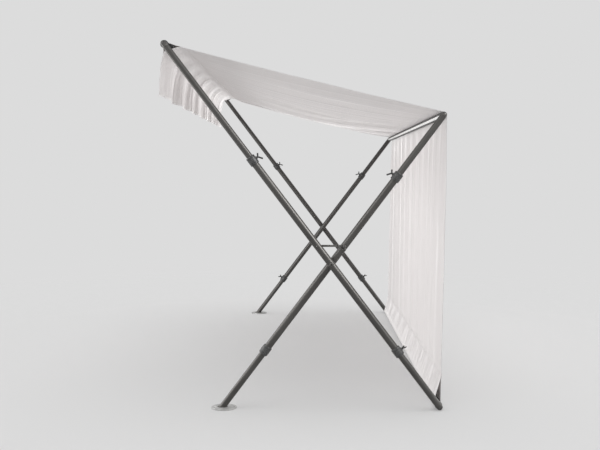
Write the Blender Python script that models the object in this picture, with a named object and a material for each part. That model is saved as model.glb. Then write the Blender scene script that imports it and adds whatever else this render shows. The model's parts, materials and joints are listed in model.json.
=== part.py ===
"""Exhibition tent: two crossed tube frames that fold like scissors, three cross bars and a cloth.

X runs from the high, open front (-X) to the low, curtained rear (+X). Y runs along the tent and
Z points up. The origin is on the floor, under the middle of the whole tent. The right side is -Y,
on the right hand of someone who stands in front of the tent and looks in towards +X.
"""
import math

import bmesh
import bpy
from mathutils import Matrix, Vector

# Crossed frames
LEG_ANGLE = math.radians(52.8)
PIVOT_HEIGHT = 0.990
FRAME_SPACING = 4.500
LEG_OFFSET = 0.033
SIDES = {"right": -1, "left": 1}

# Distances along the legs, measured from the pivot
FRONT_BAR_REACH = 1.885
REAR_BAR_REACH = 1.281
HIGH_TOP_COLLAR = 0.885
HIGH_BASE_COLLAR = 0.745
FOOT_COLLAR = 0.745
TUBE_OVERLAP = 0.250

# Tubes
MAIN_RADIUS = 0.0250
END_RADIUS = 0.0225
TUBE_WALL = 0.002
TUBE_SIDES = 16
GROUND_BAR_HEIGHT = 0.027
SEAT_GAP = 0.0003
BORE_REACH = 0.050

# Clamp collars and their wing screws
COLLAR_RADIUS = 0.032
COLLAR_LENGTH = 0.065
COLLAR_CHAMFER = 0.004
BOSS_RADIUS = 0.011
BOSS_REACH = 0.036
WING_STEM_HALF = 0.0065
WING_STEM_HEIGHT = 0.005
WING_HUB_HEIGHT = 0.010
WING_THICKNESS = 0.006
WING_HALF_WIDTH = 0.004
WING_TAPER = 0.8
WING_SWEEP = math.radians(55)
WING_LONG = 0.038
WING_SHORT = 0.026

# Foot plates
PLATE_RADIUS = 0.087
PLATE_THICKNESS = 0.008
PLATE_RIM = 0.001
PLATE_HOLE_RADIUS = 0.008
PLATE_HOLE_OFFSET = 0.068
PLATE_SHIFT = 0.010

# Bolts and stay
PIVOT_BOLT_RADIUS = 0.006
PIVOT_HEAD_RADIUS = 0.014
PIVOT_HEAD_HEIGHT = 0.007
PIVOT_NUT_RADIUS = 0.011
PIVOT_NUT_HEIGHT = 0.010
PIVOT_SPACER_RADIUS = 0.013
STAY_BOLT_RADIUS = 0.004
STAY_HEAD_RADIUS = 0.008
STAY_HEAD_HEIGHT = 0.005
STAY_NUT_RADIUS = 0.007
STAY_NUT_HEIGHT = 0.003
HEAD_EDGE_HEIGHT = 0.6
HEAD_TOP_RADIUS = 0.7
STAY_PIN_REACH = 0.155
STAY_EYE_RADIUS = 0.010
STAY_NECK = 0.012
STAY_HALF_HEIGHT = 0.007
STAY_THICKNESS = 0.005
STAY_HOOK_DROP = 0.036
STAY_HOOK_WIDTH = 0.010
STAY_HOOK_CHAMFER = 0.002
CATCH_STUD_RADIUS = 0.004
CATCH_STUD_TIP = 0.002
CATCH_CLEARANCE = 0.0005
CATCH_PAD = (0.020, 0.040)
CATCH_PAD_RISE = 0.002
CATCH_PAD_ROOT = 0.020

# Clips on the cross bars: a ring, and on the front bar a tab along the canopy's edge
CLIP_WIDTH = 0.018
CLIP_THICKNESS = {"front": 0.0045, "ground": 0.0026}
CLIP_FROM_LEG = 0.001
CLIP_TAB_REACH = 0.067
CLIP_TAB_HALF_HEIGHT = 0.010

# The cloth. Its runs meet at a stitched line just behind the front bar. The valance's points are
# (x, z) from the front bar, the sag rows (share of the length from the right end, depth).
CLOTH_THICKNESS = 0.0025
CLOTH_GAP = 0.0004
CLOTH_HALF_LENGTH = 2.180
STITCH_LINE = (0.125, 0.015)
STITCH_TURN = 0.00175
SLEEVE_WRAP = 200
SLEEVE_END = [(-0.0200, -0.0320), (-0.0168, -0.0850)]
VALANCE_PATH = [(0.085, -0.0135), (0.052, -0.0235), (0.024, -0.0400), (0.003, -0.0600),
                (-0.0120, -0.0870), (-0.0280, -0.1400), (-0.0380, -0.2100)]
VALANCE_BOTTOM = (-1.186, 2.130)
CANOPY_SAG = [(0, 0.008), (0.04, 0.018), (0.10, 0.034), (0.20, 0.048), (0.30, 0.057), (0.40, 0.064),
              (0.50, 0.071), (0.60, 0.076), (0.70, 0.078), (0.80, 0.073), (0.88, 0.064), (0.94, 0.049),
              (0.98, 0.034), (1, 0.026)]
CANOPY_STEPS = 8
POCKET_HEIGHT = 0.180
POCKET_CLOSING = 0.45
POCKET_GAP = 0.001
ARC_STEPS = 12

# Positions worked out from the sizes above, in the pivot's X and the floor's Z
COS = math.cos(LEG_ANGLE)
SIN = math.sin(LEG_ANGLE)
CLOTH_RADIUS = END_RADIUS + CLOTH_GAP + CLOTH_THICKNESS / 2
FRONT_BAR = Vector((-FRONT_BAR_REACH * COS, PIVOT_HEIGHT + FRONT_BAR_REACH * SIN))
REAR_BAR = Vector((REAR_BAR_REACH * COS, PIVOT_HEIGHT + REAR_BAR_REACH * SIN))
GROUND_BAR = Vector(((PIVOT_HEIGHT - GROUND_BAR_HEIGHT) / SIN * COS, GROUND_BAR_HEIGHT))
LOW_X = VALANCE_BOTTOM[0] - CLOTH_THICKNESS / 2
HIGH_X = REAR_BAR.x + CLOTH_RADIUS + CLOTH_THICKNESS / 2
PIVOT_X = -(LOW_X + HIGH_X) / 2


def make_material(name, colour, roughness, metallic):
    material = bpy.data.materials.new(name)
    material.use_nodes = True
    shader = material.node_tree.nodes["Principled BSDF"]
    shader.inputs["Base Color"].default_value = (*colour, 1.0)
    shader.inputs["Roughness"].default_value = roughness
    shader.inputs["Metallic"].default_value = metallic
    return material


def clear_scene():
    for old in list(bpy.data.objects):
        bpy.data.objects.remove(old, do_unlink=True)


def finish_mesh(bm, name, material=None):
    """Turn a bmesh into a mesh with its faces outward and its edges sharp or smooth by angle."""
    bmesh.ops.remove_doubles(bm, verts=bm.verts, dist=1e-6)
    bmesh.ops.recalc_face_normals(bm, faces=bm.faces)
    mesh = bpy.data.meshes.new(name)
    bm.to_mesh(mesh)
    bm.free()
    mesh.shade_smooth()
    mesh.set_sharp_from_angle(angle=math.radians(35))
    if material:
        mesh.materials.append(material)
    return mesh


def place(name, mesh, parent, location=(0, 0, 0), rotation=(0, 0, 0)):
    piece = bpy.data.objects.new(name, mesh)
    bpy.context.scene.collection.objects.link(piece)
    piece.parent = parent
    piece.location = location
    piece.rotation_euler = rotation
    return piece


def make_empty(name, parent=None, location=(0, 0, 0), rotation=(0, 0, 0)):
    return place(name, None, parent, location, rotation)


def revolve(profile, closed=False, sides=TUBE_SIDES):
    """Spin (radius, height) points about Z. An open profile starts and ends on the axis."""
    bm = bmesh.new()
    verts = [bm.verts.new((radius, 0, height)) for radius, height in profile]
    pairs = list(zip(verts, verts[1:]))
    if closed:
        pairs.append((verts[-1], verts[0]))
    edges = [bm.edges.new(pair) for pair in pairs]
    bmesh.ops.spin(bm, geom=verts + edges, cent=(0, 0, 0), axis=(0, 0, 1), angle=math.tau,
                   steps=sides, use_merge=True)
    return bm


def extrude_outline(points, depth):
    """Fill an outline of (x, z) points and give it a depth along Y, centred on Y = 0."""
    bm = bmesh.new()
    face = bm.faces.new([bm.verts.new((x, -depth / 2, z)) for x, z in points])
    result = bmesh.ops.extrude_face_region(bm, geom=[face])
    moved = [item for item in result["geom"] if isinstance(item, bmesh.types.BMVert)]
    bmesh.ops.translate(bm, verts=moved, vec=(0, depth, 0))
    return bm


def cylinder(radius, start, end, axis="Z", sides=TUBE_SIDES):
    """A closed cylinder whose axis passes through the origin, between two distances along it."""
    bm = revolve([(0, start), (radius, start), (radius, end), (0, end)], sides=sides)
    turns = {"X": Matrix.Rotation(math.pi / 2, 4, "Y"), "Y": Matrix.Rotation(-math.pi / 2, 4, "X"),
             "Z": Matrix.Identity(4)}
    bmesh.ops.transform(bm, matrix=turns[axis], verts=bm.verts)
    return bm


def add_boolean(piece, operation, bm, location=(0, 0, 0)):
    """Join a second shape to a piece, or cut it away, with a hidden object as the second shape."""
    name = f"{piece.name}_{operation.lower()}_{len(piece.modifiers)}"
    other = place(name, finish_mesh(bm, name), piece.parent)
    other.matrix_basis = piece.matrix_basis @ Matrix.Translation(location)
    other.hide_render = True
    other.display_type = "WIRE"
    modifier = piece.modifiers.new(name, "BOOLEAN")
    modifier.operation = operation
    modifier.solver = "EXACT"
    modifier.object = other


def arc(centre, radius, start, end, steps=ARC_STEPS):
    """Points along an arc from one angle to another, both in degrees from +X towards +Z."""
    turns = [math.radians(start + (end - start) * step / steps) for step in range(steps + 1)]
    return [Vector((centre[0] + radius * math.cos(a), centre[1] + radius * math.sin(a))) for a in turns]


def ribbon(path, thickness):
    """The closed outline of a strip whose middle follows a path of (x, z) points."""
    left, right = [], []
    for index, point in enumerate(path):
        before = path[max(index - 1, 0)]
        after = path[min(index + 1, len(path) - 1)]
        first = (point - before).normalized() if index else (after - point).normalized()
        second = (after - point).normalized() if index < len(path) - 1 else first
        bisector = (first + second).normalized()
        normal = Vector((-bisector.y, bisector.x))
        reach = thickness / 2 / max(normal.dot(Vector((-first.y, first.x))), 0.5)
        left.append(point + normal * reach)
        right.append(point - normal * reach)
    return left + right[::-1]


def hanging_sheet(rows, thickness):
    """A thin closed sheet through rows of points, with half its thickness above and half below."""
    bm = bmesh.new()
    lift = Vector((0, 0, thickness / 2))
    grid = [[bm.verts.new(point + lift) for point in row] for row in rows]
    faces = []
    for row, after in zip(grid, grid[1:]):
        for step in range(len(row) - 1):
            faces.append(bm.faces.new((row[step], row[step + 1], after[step + 1], after[step])))
    triangles = bmesh.ops.triangulate(bm, faces=faces)["faces"]
    result = bmesh.ops.extrude_face_region(bm, geom=triangles)
    moved = [item for item in result["geom"] if isinstance(item, bmesh.types.BMVert)]
    bmesh.ops.translate(bm, verts=moved, vec=(0, 0, -thickness))
    return bm


def main_tube(length_down, length_up):
    outer, inner = MAIN_RADIUS, MAIN_RADIUS - TUBE_WALL
    return revolve([(outer, -length_down), (outer, length_up), (inner, length_up),
                    (inner, -length_down)], closed=True)


def capped_tube(start, end):
    """An end tube from its open inner end to a closed, domed outer end beyond the height end."""
    sign = math.copysign(1, end)
    inner = END_RADIUS - TUBE_WALL
    dome = [(END_RADIUS * math.sin(a), end + sign * END_RADIUS * math.cos(a))
            for a in (math.pi / 2 * step / 4 for step in range(5))]
    dome[0] = (0, end + sign * END_RADIUS)
    return revolve(dome + [(END_RADIUS, start), (inner, start), (inner, end), (0, end)])


def foot_tube(lean, start, axis_end):
    """An open end tube whose lower end is cut level, to stand on the foot plate."""
    outer, inner = END_RADIUS, END_RADIUS - TUBE_WALL
    uncut = axis_end - 2 * MAIN_RADIUS
    bm = revolve([(outer, start), (outer, uncut), (inner, uncut), (inner, start)], closed=True)
    down = Matrix.Rotation(-lean, 3, "Y") @ Vector((0, 0, -1))
    geometry = bm.verts[:] + bm.edges[:] + bm.faces[:]
    bmesh.ops.bisect_plane(bm, geom=geometry, plane_co=(0, 0, axis_end), plane_no=down, clear_outer=True)
    bmesh.ops.bridge_loops(bm, edges=[edge for edge in bm.edges if edge.is_boundary])
    return bm


def collar_profile(sign):
    """The stepped ring round a main tube's end, with the slimmer tube leaving on the sign's side."""
    half = COLLAR_LENGTH / 2
    wide, slim = MAIN_RADIUS + SEAT_GAP, END_RADIUS + SEAT_GAP
    outer, chamfer = COLLAR_RADIUS, COLLAR_CHAMFER
    points = [(wide, -half), (outer - chamfer, -half), (outer, chamfer - half), (outer, half - chamfer),
              (outer - chamfer, half), (slim, half), (slim, SEAT_GAP), (wide, SEAT_GAP)]
    return [(radius, sign * height) for radius, height in points]


def wing_outline():
    """A wing screw's outline: a short stem with a long wing one way and a short wing the other."""
    root = Vector((0, WING_STEM_HEIGHT + WING_HALF_WIDTH / 2))
    points = [Vector((-WING_STEM_HALF, 0))]
    crotch = root + Vector((0, WING_HALF_WIDTH / math.sin(WING_SWEEP)))
    for sign, length in ((-1, WING_SHORT), (1, WING_LONG)):
        along = Vector((sign * math.sin(WING_SWEEP), math.cos(WING_SWEEP)))
        across = Vector((along.y * sign, -along.x * sign))
        lower = root + along * length + across * WING_HALF_WIDTH * WING_TAPER
        upper = root + along * length - across * WING_HALF_WIDTH * WING_TAPER
        stem = Vector((sign * WING_STEM_HALF, WING_STEM_HEIGHT))
        points += [stem, lower, upper] if sign < 0 else [crotch, upper, lower, stem]
    return points + [Vector((WING_STEM_HALF, 0))]


def bolt_profile(head_radius, head_height, shaft_radius, spacer_radius, spacer_span, nut_radius, nut_span):
    """A bolt through the high leg, heading outward, with the crossed frame's middle at height 0."""
    face = LEG_OFFSET + MAIN_RADIUS + SEAT_GAP
    low, high = spacer_span
    nut_low, nut_high = nut_span
    return [(0, nut_low), (nut_radius, nut_low), (nut_radius, nut_high), (shaft_radius, nut_high),
            (shaft_radius, low), (spacer_radius, low), (spacer_radius, high), (shaft_radius, high),
            (shaft_radius, face), (head_radius, face), (head_radius, face + head_height * HEAD_EDGE_HEIGHT),
            (head_radius * HEAD_TOP_RADIUS, face + head_height), (0, face + head_height)]


def make_legs(frame, side, materials):
    """Two crossed legs on one side, each a main tube with a slimmer tube at either end."""
    sign = SIDES[side]
    high_y = sign * (FRAME_SPACING / 2 + LEG_OFFSET)
    foot_y = sign * (FRAME_SPACING / 2 - LEG_OFFSET)
    lean = math.pi / 2 - LEG_ANGLE
    high = make_empty(f"high_leg_axis_{side}", frame, (0, high_y, 0), (0, -lean, 0))
    foot = make_empty(f"foot_leg_axis_{side}", frame, (0, foot_y, 0), (0, lean, 0))
    paint = materials["dark_tube"]

    high_main = place(f"high_leg_main_{side}",
                      finish_mesh(main_tube(HIGH_BASE_COLLAR, HIGH_TOP_COLLAR), "high_main", paint), high)
    foot_main = place(f"foot_leg_main_{side}",
                      finish_mesh(main_tube(FOOT_COLLAR, FOOT_COLLAR), "foot_main", paint), foot)
    bore = PIVOT_BOLT_RADIUS + SEAT_GAP
    add_boolean(high_main, "DIFFERENCE", cylinder(bore, -BORE_REACH, BORE_REACH, "Y", 12))
    add_boolean(foot_main, "DIFFERENCE", cylinder(bore, -BORE_REACH, BORE_REACH, "Y", 12))
    bore = STAY_BOLT_RADIUS + SEAT_GAP
    add_boolean(high_main, "DIFFERENCE", cylinder(bore, -BORE_REACH, BORE_REACH, "Y", 12),
                (0, 0, STAY_PIN_REACH))

    base_end = (PIVOT_HEIGHT - END_RADIUS) / SIN
    foot_end = (PIVOT_HEIGHT - PLATE_THICKNESS - SEAT_GAP) / SIN
    tubes = {
        f"high_leg_top_{side}": (high, capped_tube(HIGH_TOP_COLLAR - TUBE_OVERLAP, FRONT_BAR_REACH)),
        f"high_leg_base_{side}": (high, capped_tube(TUBE_OVERLAP - HIGH_BASE_COLLAR, -base_end)),
        f"foot_leg_top_{side}": (foot, capped_tube(FOOT_COLLAR - TUBE_OVERLAP, REAR_BAR_REACH)),
        f"foot_leg_base_{side}": (foot, foot_tube(lean, TUBE_OVERLAP - FOOT_COLLAR, -foot_end)),
    }
    for name, (axis, bm) in tubes.items():
        place(name, finish_mesh(bm, name, paint), axis)
    return high, foot


def make_clamp(axis, name, reach, facing, turn, wing_mesh, materials):
    """A collar round a main tube's end, with a boss that carries a wing screw."""
    sign = math.copysign(1, reach)
    clamp = make_empty(f"clamp_axis_{name}", axis, (0, 0, reach), (0, 0, facing))
    mesh = finish_mesh(revolve(collar_profile(sign), closed=True), "collar", materials["black_clamp"])
    collar = place(f"collar_{name}", mesh, clamp)
    add_boolean(collar, "UNION", cylinder(BOSS_RADIUS, COLLAR_RADIUS - 0.004, BOSS_REACH, "X", 12))
    screw = make_empty(f"screw_axis_{name}", clamp, (BOSS_REACH + SEAT_GAP, 0, 0), (0, math.pi / 2, 0))
    place(f"wing_screw_{name}", wing_mesh, screw, rotation=(0, 0, turn))


def make_wing_mesh(materials):
    """The wing screw's mesh, shared by every clamp: Z runs outward along the screw."""
    wing = place("wing_pattern", finish_mesh(extrude_outline(wing_outline(), WING_THICKNESS), "wings"), None)
    add_boolean(wing, "UNION", cylinder(WING_STEM_HALF + 0.001, 0, WING_HUB_HEIGHT, sides=16))
    bpy.context.view_layer.update()
    evaluated = wing.evaluated_get(bpy.context.evaluated_depsgraph_get())
    mesh = bpy.data.meshes.new_from_object(evaluated)
    mesh.name = "wing_screw"
    mesh.materials.clear()
    mesh.materials.append(materials["black_clamp"])
    hub = wing.modifiers[0].object
    bpy.data.objects.remove(wing)
    bpy.data.objects.remove(hub)
    return mesh


def make_clamps(side, high, foot, wing_mesh, materials):
    """Four clamps on one side. The screws face the open air above each leg, but for one turned inward."""
    sign = SIDES[side]
    inward = -sign * math.pi / 2
    above_foot_leg = math.pi
    clamps = (
        (high, f"high_top_{side}", HIGH_TOP_COLLAR, 0, 0),
        (high, f"high_base_{side}", -HIGH_BASE_COLLAR, 0, math.radians(60)),
        (foot, f"foot_top_{side}", FOOT_COLLAR, above_foot_leg, 0),
        (foot, f"foot_base_{side}", -FOOT_COLLAR, inward if sign < 0 else above_foot_leg, math.radians(60)),
    )
    for axis, name, reach, facing, turn in clamps:
        make_clamp(axis, name, reach, facing, turn, wing_mesh, materials)


def make_foot_plate(frame, side, materials):
    """A round steel plate with two fixing holes, under the cut end of the foot leg."""
    sign = SIDES[side]
    axis_x = -(PIVOT_HEIGHT - PLATE_THICKNESS) / SIN * COS
    foot_y = sign * (FRAME_SPACING / 2 - LEG_OFFSET)
    top = PLATE_THICKNESS
    profile = [(0, 0), (PLATE_RADIUS, 0), (PLATE_RADIUS, top - PLATE_RIM), (PLATE_RADIUS - PLATE_RIM, top),
               (0, top)]
    mesh = finish_mesh(revolve(profile, sides=32), "foot_plate", materials["plate"])
    plate = place(f"foot_plate_{side}", mesh, frame, (axis_x + PLATE_SHIFT, foot_y, -PIVOT_HEIGHT))
    for offset in (-PLATE_HOLE_OFFSET, PLATE_HOLE_OFFSET):
        hole = cylinder(PLATE_HOLE_RADIUS, -top, 2 * top, sides=12)
        add_boolean(plate, "DIFFERENCE", hole, (offset, 0, 0))


def make_bolts(frame, side, materials):
    """The pivot bolt through both legs, and the stay's bolt through the high leg."""
    sign = SIDES[side]
    outward = (-sign * math.pi / 2, 0, 0)
    middle = sign * FRAME_SPACING / 2
    tube_face = LEG_OFFSET - MAIN_RADIUS - SEAT_GAP
    far_face = LEG_OFFSET + MAIN_RADIUS + SEAT_GAP
    pivot = bolt_profile(PIVOT_HEAD_RADIUS, PIVOT_HEAD_HEIGHT, PIVOT_BOLT_RADIUS, PIVOT_SPACER_RADIUS,
                         (-tube_face, tube_face), PIVOT_NUT_RADIUS,
                         (-far_face - PIVOT_NUT_HEIGHT, -far_face))
    place(f"pivot_bolt_{side}", finish_mesh(revolve(pivot), "pivot_bolt", materials["dark_tube"]), frame,
          (0, middle, 0), outward)
    stay_face = STAY_THICKNESS / 2 + SEAT_GAP
    stay = bolt_profile(STAY_HEAD_RADIUS, STAY_HEAD_HEIGHT, STAY_BOLT_RADIUS, STAY_NUT_RADIUS,
                        (stay_face, tube_face), STAY_NUT_RADIUS, (-stay_face - STAY_NUT_HEIGHT, -stay_face))
    pin = (-STAY_PIN_REACH * COS, middle, STAY_PIN_REACH * SIN)
    place(f"stay_bolt_{side}", finish_mesh(revolve(stay), "stay_bolt", materials["dark_tube"]), frame, pin,
          outward)


def make_stay(frame, materials):
    """The flat stay on the right side, which hooks over a stud on the foot leg."""
    middle = SIDES["right"] * FRAME_SPACING / 2
    pin = Vector((-STAY_PIN_REACH * COS, STAY_PIN_REACH * SIN))
    drop = STAY_HALF_HEIGHT + CATCH_STUD_RADIUS + CATCH_CLEARANCE
    stud_reach = (pin.y - drop) / SIN
    stud_x = stud_reach * COS - pin.x
    inner = stud_x + CATCH_STUD_RADIUS + CATCH_CLEARANCE
    outer = inner + STAY_HOOK_WIDTH
    half, low, chamfer = STAY_HALF_HEIGHT, -STAY_HOOK_DROP, STAY_HOOK_CHAMFER
    eye = arc((0, 0), STAY_EYE_RADIUS, 45, 315)
    corner = arc((outer - half, 0), half, 90, 0, 4)
    outline = [*eye, (STAY_NECK, -half), (inner, -half), (inner, low + chamfer), (inner + chamfer, low),
               (outer - chamfer, low), (outer, low + chamfer), *corner[::-1], (STAY_NECK, half)]
    mesh = finish_mesh(extrude_outline(outline, STAY_THICKNESS), "stay_bar", materials["dark_tube"])
    axis = make_empty("stay_axis", frame, (pin.x, middle, pin.y))
    bar = place("stay_bar", mesh, axis)
    eye_bore = cylinder(STAY_BOLT_RADIUS + SEAT_GAP, -STAY_THICKNESS, STAY_THICKNESS, "Y")
    add_boolean(bar, "DIFFERENCE", eye_bore)
    return stud_reach


def make_catch(foot, stud_reach, materials):
    """A saddle pad on the foot leg's outer face, with the stud that the stay hooks over."""
    width, length = CATCH_PAD
    outward = SIDES["right"]
    face = MAIN_RADIUS + CATCH_PAD_RISE
    pad = extrude_outline([(-width / 2, -length / 2), (width / 2, -length / 2),
                           (width / 2, length / 2), (-width / 2, length / 2)], face - CATCH_PAD_ROOT)
    bmesh.ops.translate(pad, verts=pad.verts, vec=(0, outward * (face + CATCH_PAD_ROOT) / 2, 0))
    catch = place("stay_catch", finish_mesh(pad, "stay_catch", materials["dark_tube"]), foot,
                  (0, 0, stud_reach))
    tip = LEG_OFFSET + STAY_THICKNESS / 2 + CATCH_STUD_TIP
    ends = sorted((outward * (face - CATCH_PAD_RISE / 2), outward * tip))
    add_boolean(catch, "UNION", cylinder(CATCH_STUD_RADIUS, *ends, "Y"))
    add_boolean(catch, "DIFFERENCE", cylinder(MAIN_RADIUS + SEAT_GAP, -length, length))


def make_bars(frame, materials):
    """Three hollow bars along Y, seated between the legs, and the clips at two bars' ends."""
    high_face = FRAME_SPACING / 2 + LEG_OFFSET - END_RADIUS - SEAT_GAP
    foot_face = FRAME_SPACING / 2 - LEG_OFFSET - END_RADIUS - SEAT_GAP
    bars = (("front", FRONT_BAR, high_face, "dark_tube"), ("ground", GROUND_BAR, high_face, "dark_tube"),
            ("rear", REAR_BAR, foot_face, "bright_tube"))
    along_y = (-math.pi / 2, 0, 0)
    for name, centre, half, paint in bars:
        inner = END_RADIUS - TUBE_WALL
        bm = revolve([(END_RADIUS, -half), (END_RADIUS, half), (inner, half), (inner, -half)], closed=True)
        place(f"{name}_bar", finish_mesh(bm, name, materials[paint]), frame,
              (centre.x, 0, centre.y - PIVOT_HEIGHT), along_y)
        if name not in CLIP_THICKNESS:
            continue
        low, high = END_RADIUS + SEAT_GAP, END_RADIUS + CLIP_THICKNESS[name]
        ring = [(low, 0), (high, 0), (high, CLIP_WIDTH), (low, CLIP_WIDTH)]
        for side, sign in SIDES.items():
            mesh = finish_mesh(revolve(ring, closed=True), "bar_clip", materials["black_clamp"])
            near_leg = sign * (half - CLIP_WIDTH / 2 - CLIP_FROM_LEG)
            clip = place(f"{name}_bar_clip_{side}", mesh, frame,
                         (centre.x, near_leg - CLIP_WIDTH / 2, centre.y - PIVOT_HEIGHT), along_y)
            if name == "front":
                add_boolean(clip, "UNION", clip_tab(low, high))


def clip_tab(low, high):
    """The front clip's flat tab, in the clip's own frame: Z runs along the bar and Y points down."""
    root = (low + high) / 2
    middle = (root + CLIP_TAB_REACH) / 2
    bm = bmesh.new()
    bmesh.ops.create_cube(bm, size=1)
    bmesh.ops.scale(bm, verts=bm.verts,
                    vec=(CLIP_TAB_REACH - root, 2 * CLIP_TAB_HALF_HEIGHT, CLIP_WIDTH))
    bmesh.ops.translate(bm, verts=bm.verts, vec=(middle, 0, CLIP_WIDTH / 2))
    slope = math.atan2(FRONT_BAR.y - REAR_BAR.y, REAR_BAR.x - FRONT_BAR.x)
    bmesh.ops.rotate(bm, verts=bm.verts, cent=(0, 0, 0), matrix=Matrix.Rotation(slope, 3, "Z"))
    return bm


def valance_path(stitch, along, above):
    """The valance from its lower edge up inside the front bar, round the stitched line and back over."""
    stitch_slope = math.degrees(math.atan2(along.y, along.x))
    turn = arc(stitch, STITCH_TURN, stitch_slope - 90, stitch_slope + 90, 4)
    toward = stitch + above * STITCH_TURN - FRONT_BAR
    tangent = math.degrees(math.atan2(toward.y, toward.x) + math.acos(CLOTH_RADIUS / toward.length))
    wrap = arc(FRONT_BAR, CLOTH_RADIUS, tangent, SLEEVE_WRAP)
    inside = [FRONT_BAR + Vector(point) for point in reversed(VALANCE_PATH)]
    outside = [FRONT_BAR + Vector(point) for point in SLEEVE_END]
    return [Vector(VALANCE_BOTTOM)] + inside + turn + wrap + outside


def canopy_rows(start, end):
    """Rows of points from the front to the rear, each row sagging by its own depth."""
    rows = []
    for share, depth in CANOPY_SAG:
        y = CLOTH_HALF_LENGTH * (2 * share - 1)
        row = []
        for step in range(CANOPY_STEPS + 1):
            part = step / CANOPY_STEPS
            point = start + (end - start) * part
            row.append(Vector((point.x, y, point.y - 4 * part * (1 - part) * depth)))
        rows.append(row)
    return rows


def make_cloth(frame, materials):
    """The cloth in three runs: valance with its sleeve, canopy, and curtain with its pocket."""
    along = (REAR_BAR - FRONT_BAR).normalized()
    above = Vector((-along.y, along.x))
    stitch = FRONT_BAR + along * STITCH_LINE[0] + above * STITCH_LINE[1]
    valance = valance_path(stitch, along, above)

    start = stitch + along * (STITCH_TURN + CLOTH_THICKNESS / 2 + 2 * SEAT_GAP)
    leaving = 90 + math.degrees(math.atan2(along.y, along.x))
    end = REAR_BAR + above * CLOTH_RADIUS - along * 2 * SEAT_GAP
    canopy = hanging_sheet(canopy_rows(start, end), CLOTH_THICKNESS)

    fall = math.degrees(math.atan2(REAR_BAR.x - GROUND_BAR.x, REAR_BAR.y - GROUND_BAR.y))
    over_rear = arc(REAR_BAR, CLOTH_RADIUS, leaving, -fall)
    outer_side = arc(GROUND_BAR, CLOTH_RADIUS, -fall, -fall, 1)[0]
    rise = (over_rear[-1] - outer_side).normalized()
    inside = Vector((-rise.y, rise.x))
    pocket_top = outer_side + rise * POCKET_HEIGHT + inside * (CLOTH_THICKNESS + POCKET_GAP)
    closing = pocket_top - rise * POCKET_HEIGHT * (1 - POCKET_CLOSING)
    towards = closing - GROUND_BAR
    tangent = math.degrees(math.atan2(towards.y, towards.x) + math.acos(CLOTH_RADIUS / towards.length))
    pocket = arc(GROUND_BAR, CLOTH_RADIUS, -fall, tangent - 360, 2 * ARC_STEPS)
    curtain = over_rear + pocket + [closing, pocket_top]

    runs = {"front_valance": extrude_outline(ribbon(valance, CLOTH_THICKNESS), 2 * CLOTH_HALF_LENGTH),
            "canopy": canopy,
            "rear_curtain": extrude_outline(ribbon(curtain, CLOTH_THICKNESS), 2 * CLOTH_HALF_LENGTH)}
    for name, bm in runs.items():
        place(name, finish_mesh(bm, name, materials["cloth"]), frame, (0, 0, -PIVOT_HEIGHT))


def main():
    clear_scene()
    materials = {
        "dark_tube": make_material("dark_tube", (0.055, 0.052, 0.050), 0.42, 0.85),
        "bright_tube": make_material("bright_tube", (0.62, 0.62, 0.63), 0.22, 1.0),
        "black_clamp": make_material("black_clamp", (0.018, 0.018, 0.019), 0.5, 0.0),
        "plate": make_material("plate", (0.30, 0.30, 0.30), 0.45, 0.9),
        "cloth": make_material("cloth", (0.80, 0.77, 0.76), 0.9, 0.0),
    }
    frame = make_empty("fold_axis", location=(PIVOT_X, 0, PIVOT_HEIGHT))
    wing_mesh = make_wing_mesh(materials)
    stud_reach = make_stay(frame, materials)
    for side in SIDES:
        high, foot = make_legs(frame, side, materials)
        make_clamps(side, high, foot, wing_mesh, materials)
        make_foot_plate(frame, side, materials)
        make_bolts(frame, side, materials)
        if side == "right":
            make_catch(foot, stud_reach, materials)
    make_bars(frame, materials)
    make_cloth(frame, materials)


main()
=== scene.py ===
"""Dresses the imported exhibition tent: smooth tubes, clamps and fittings, and the gathered cloth.

The right side is -Y, nearest the camera, and the high open front is at -X. Lengths are in metres.
Fittings are made standing at the origin and then moved to their place on the tent.
"""
import json
import math

import bpy
import numpy as np
from mathutils import Matrix, Vector

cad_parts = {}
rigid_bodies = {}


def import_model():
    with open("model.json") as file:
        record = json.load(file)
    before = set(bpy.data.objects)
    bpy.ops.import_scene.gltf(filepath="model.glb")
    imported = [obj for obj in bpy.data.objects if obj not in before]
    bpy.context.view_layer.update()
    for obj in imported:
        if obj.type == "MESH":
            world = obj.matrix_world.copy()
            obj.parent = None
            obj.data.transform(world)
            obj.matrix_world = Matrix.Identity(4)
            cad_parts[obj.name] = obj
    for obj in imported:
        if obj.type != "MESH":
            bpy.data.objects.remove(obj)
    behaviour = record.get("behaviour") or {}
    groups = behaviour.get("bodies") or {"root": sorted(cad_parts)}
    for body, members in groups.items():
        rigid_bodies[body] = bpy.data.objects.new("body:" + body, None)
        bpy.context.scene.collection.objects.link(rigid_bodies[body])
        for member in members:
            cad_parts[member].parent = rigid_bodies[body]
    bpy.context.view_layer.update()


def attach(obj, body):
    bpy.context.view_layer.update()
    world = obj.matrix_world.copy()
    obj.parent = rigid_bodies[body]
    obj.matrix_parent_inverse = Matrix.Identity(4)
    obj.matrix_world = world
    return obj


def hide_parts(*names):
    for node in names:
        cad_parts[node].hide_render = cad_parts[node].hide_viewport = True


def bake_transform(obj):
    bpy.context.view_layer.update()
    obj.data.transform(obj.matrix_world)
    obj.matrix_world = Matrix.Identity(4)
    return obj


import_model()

SIDES = {"right": -1, "left": 1}

# Crossed legs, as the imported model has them
PIVOT = Vector((0.19368, 0.0, 0.990))
LEG_ANGLE = math.radians(52.8)
LEAN = math.pi / 2 - LEG_ANGLE
COS, SIN = math.cos(LEG_ANGLE), math.sin(LEG_ANGLE)
HALF_SPACING = 2.250
LEG_OFFSET = 0.033
FRONT_BAR_REACH = 1.885
REAR_BAR_REACH = 1.281
HIGH_TOP_COLLAR = 0.885
LOWER_COLLAR = 0.745
TUBE_OVERLAP = 0.250

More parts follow.
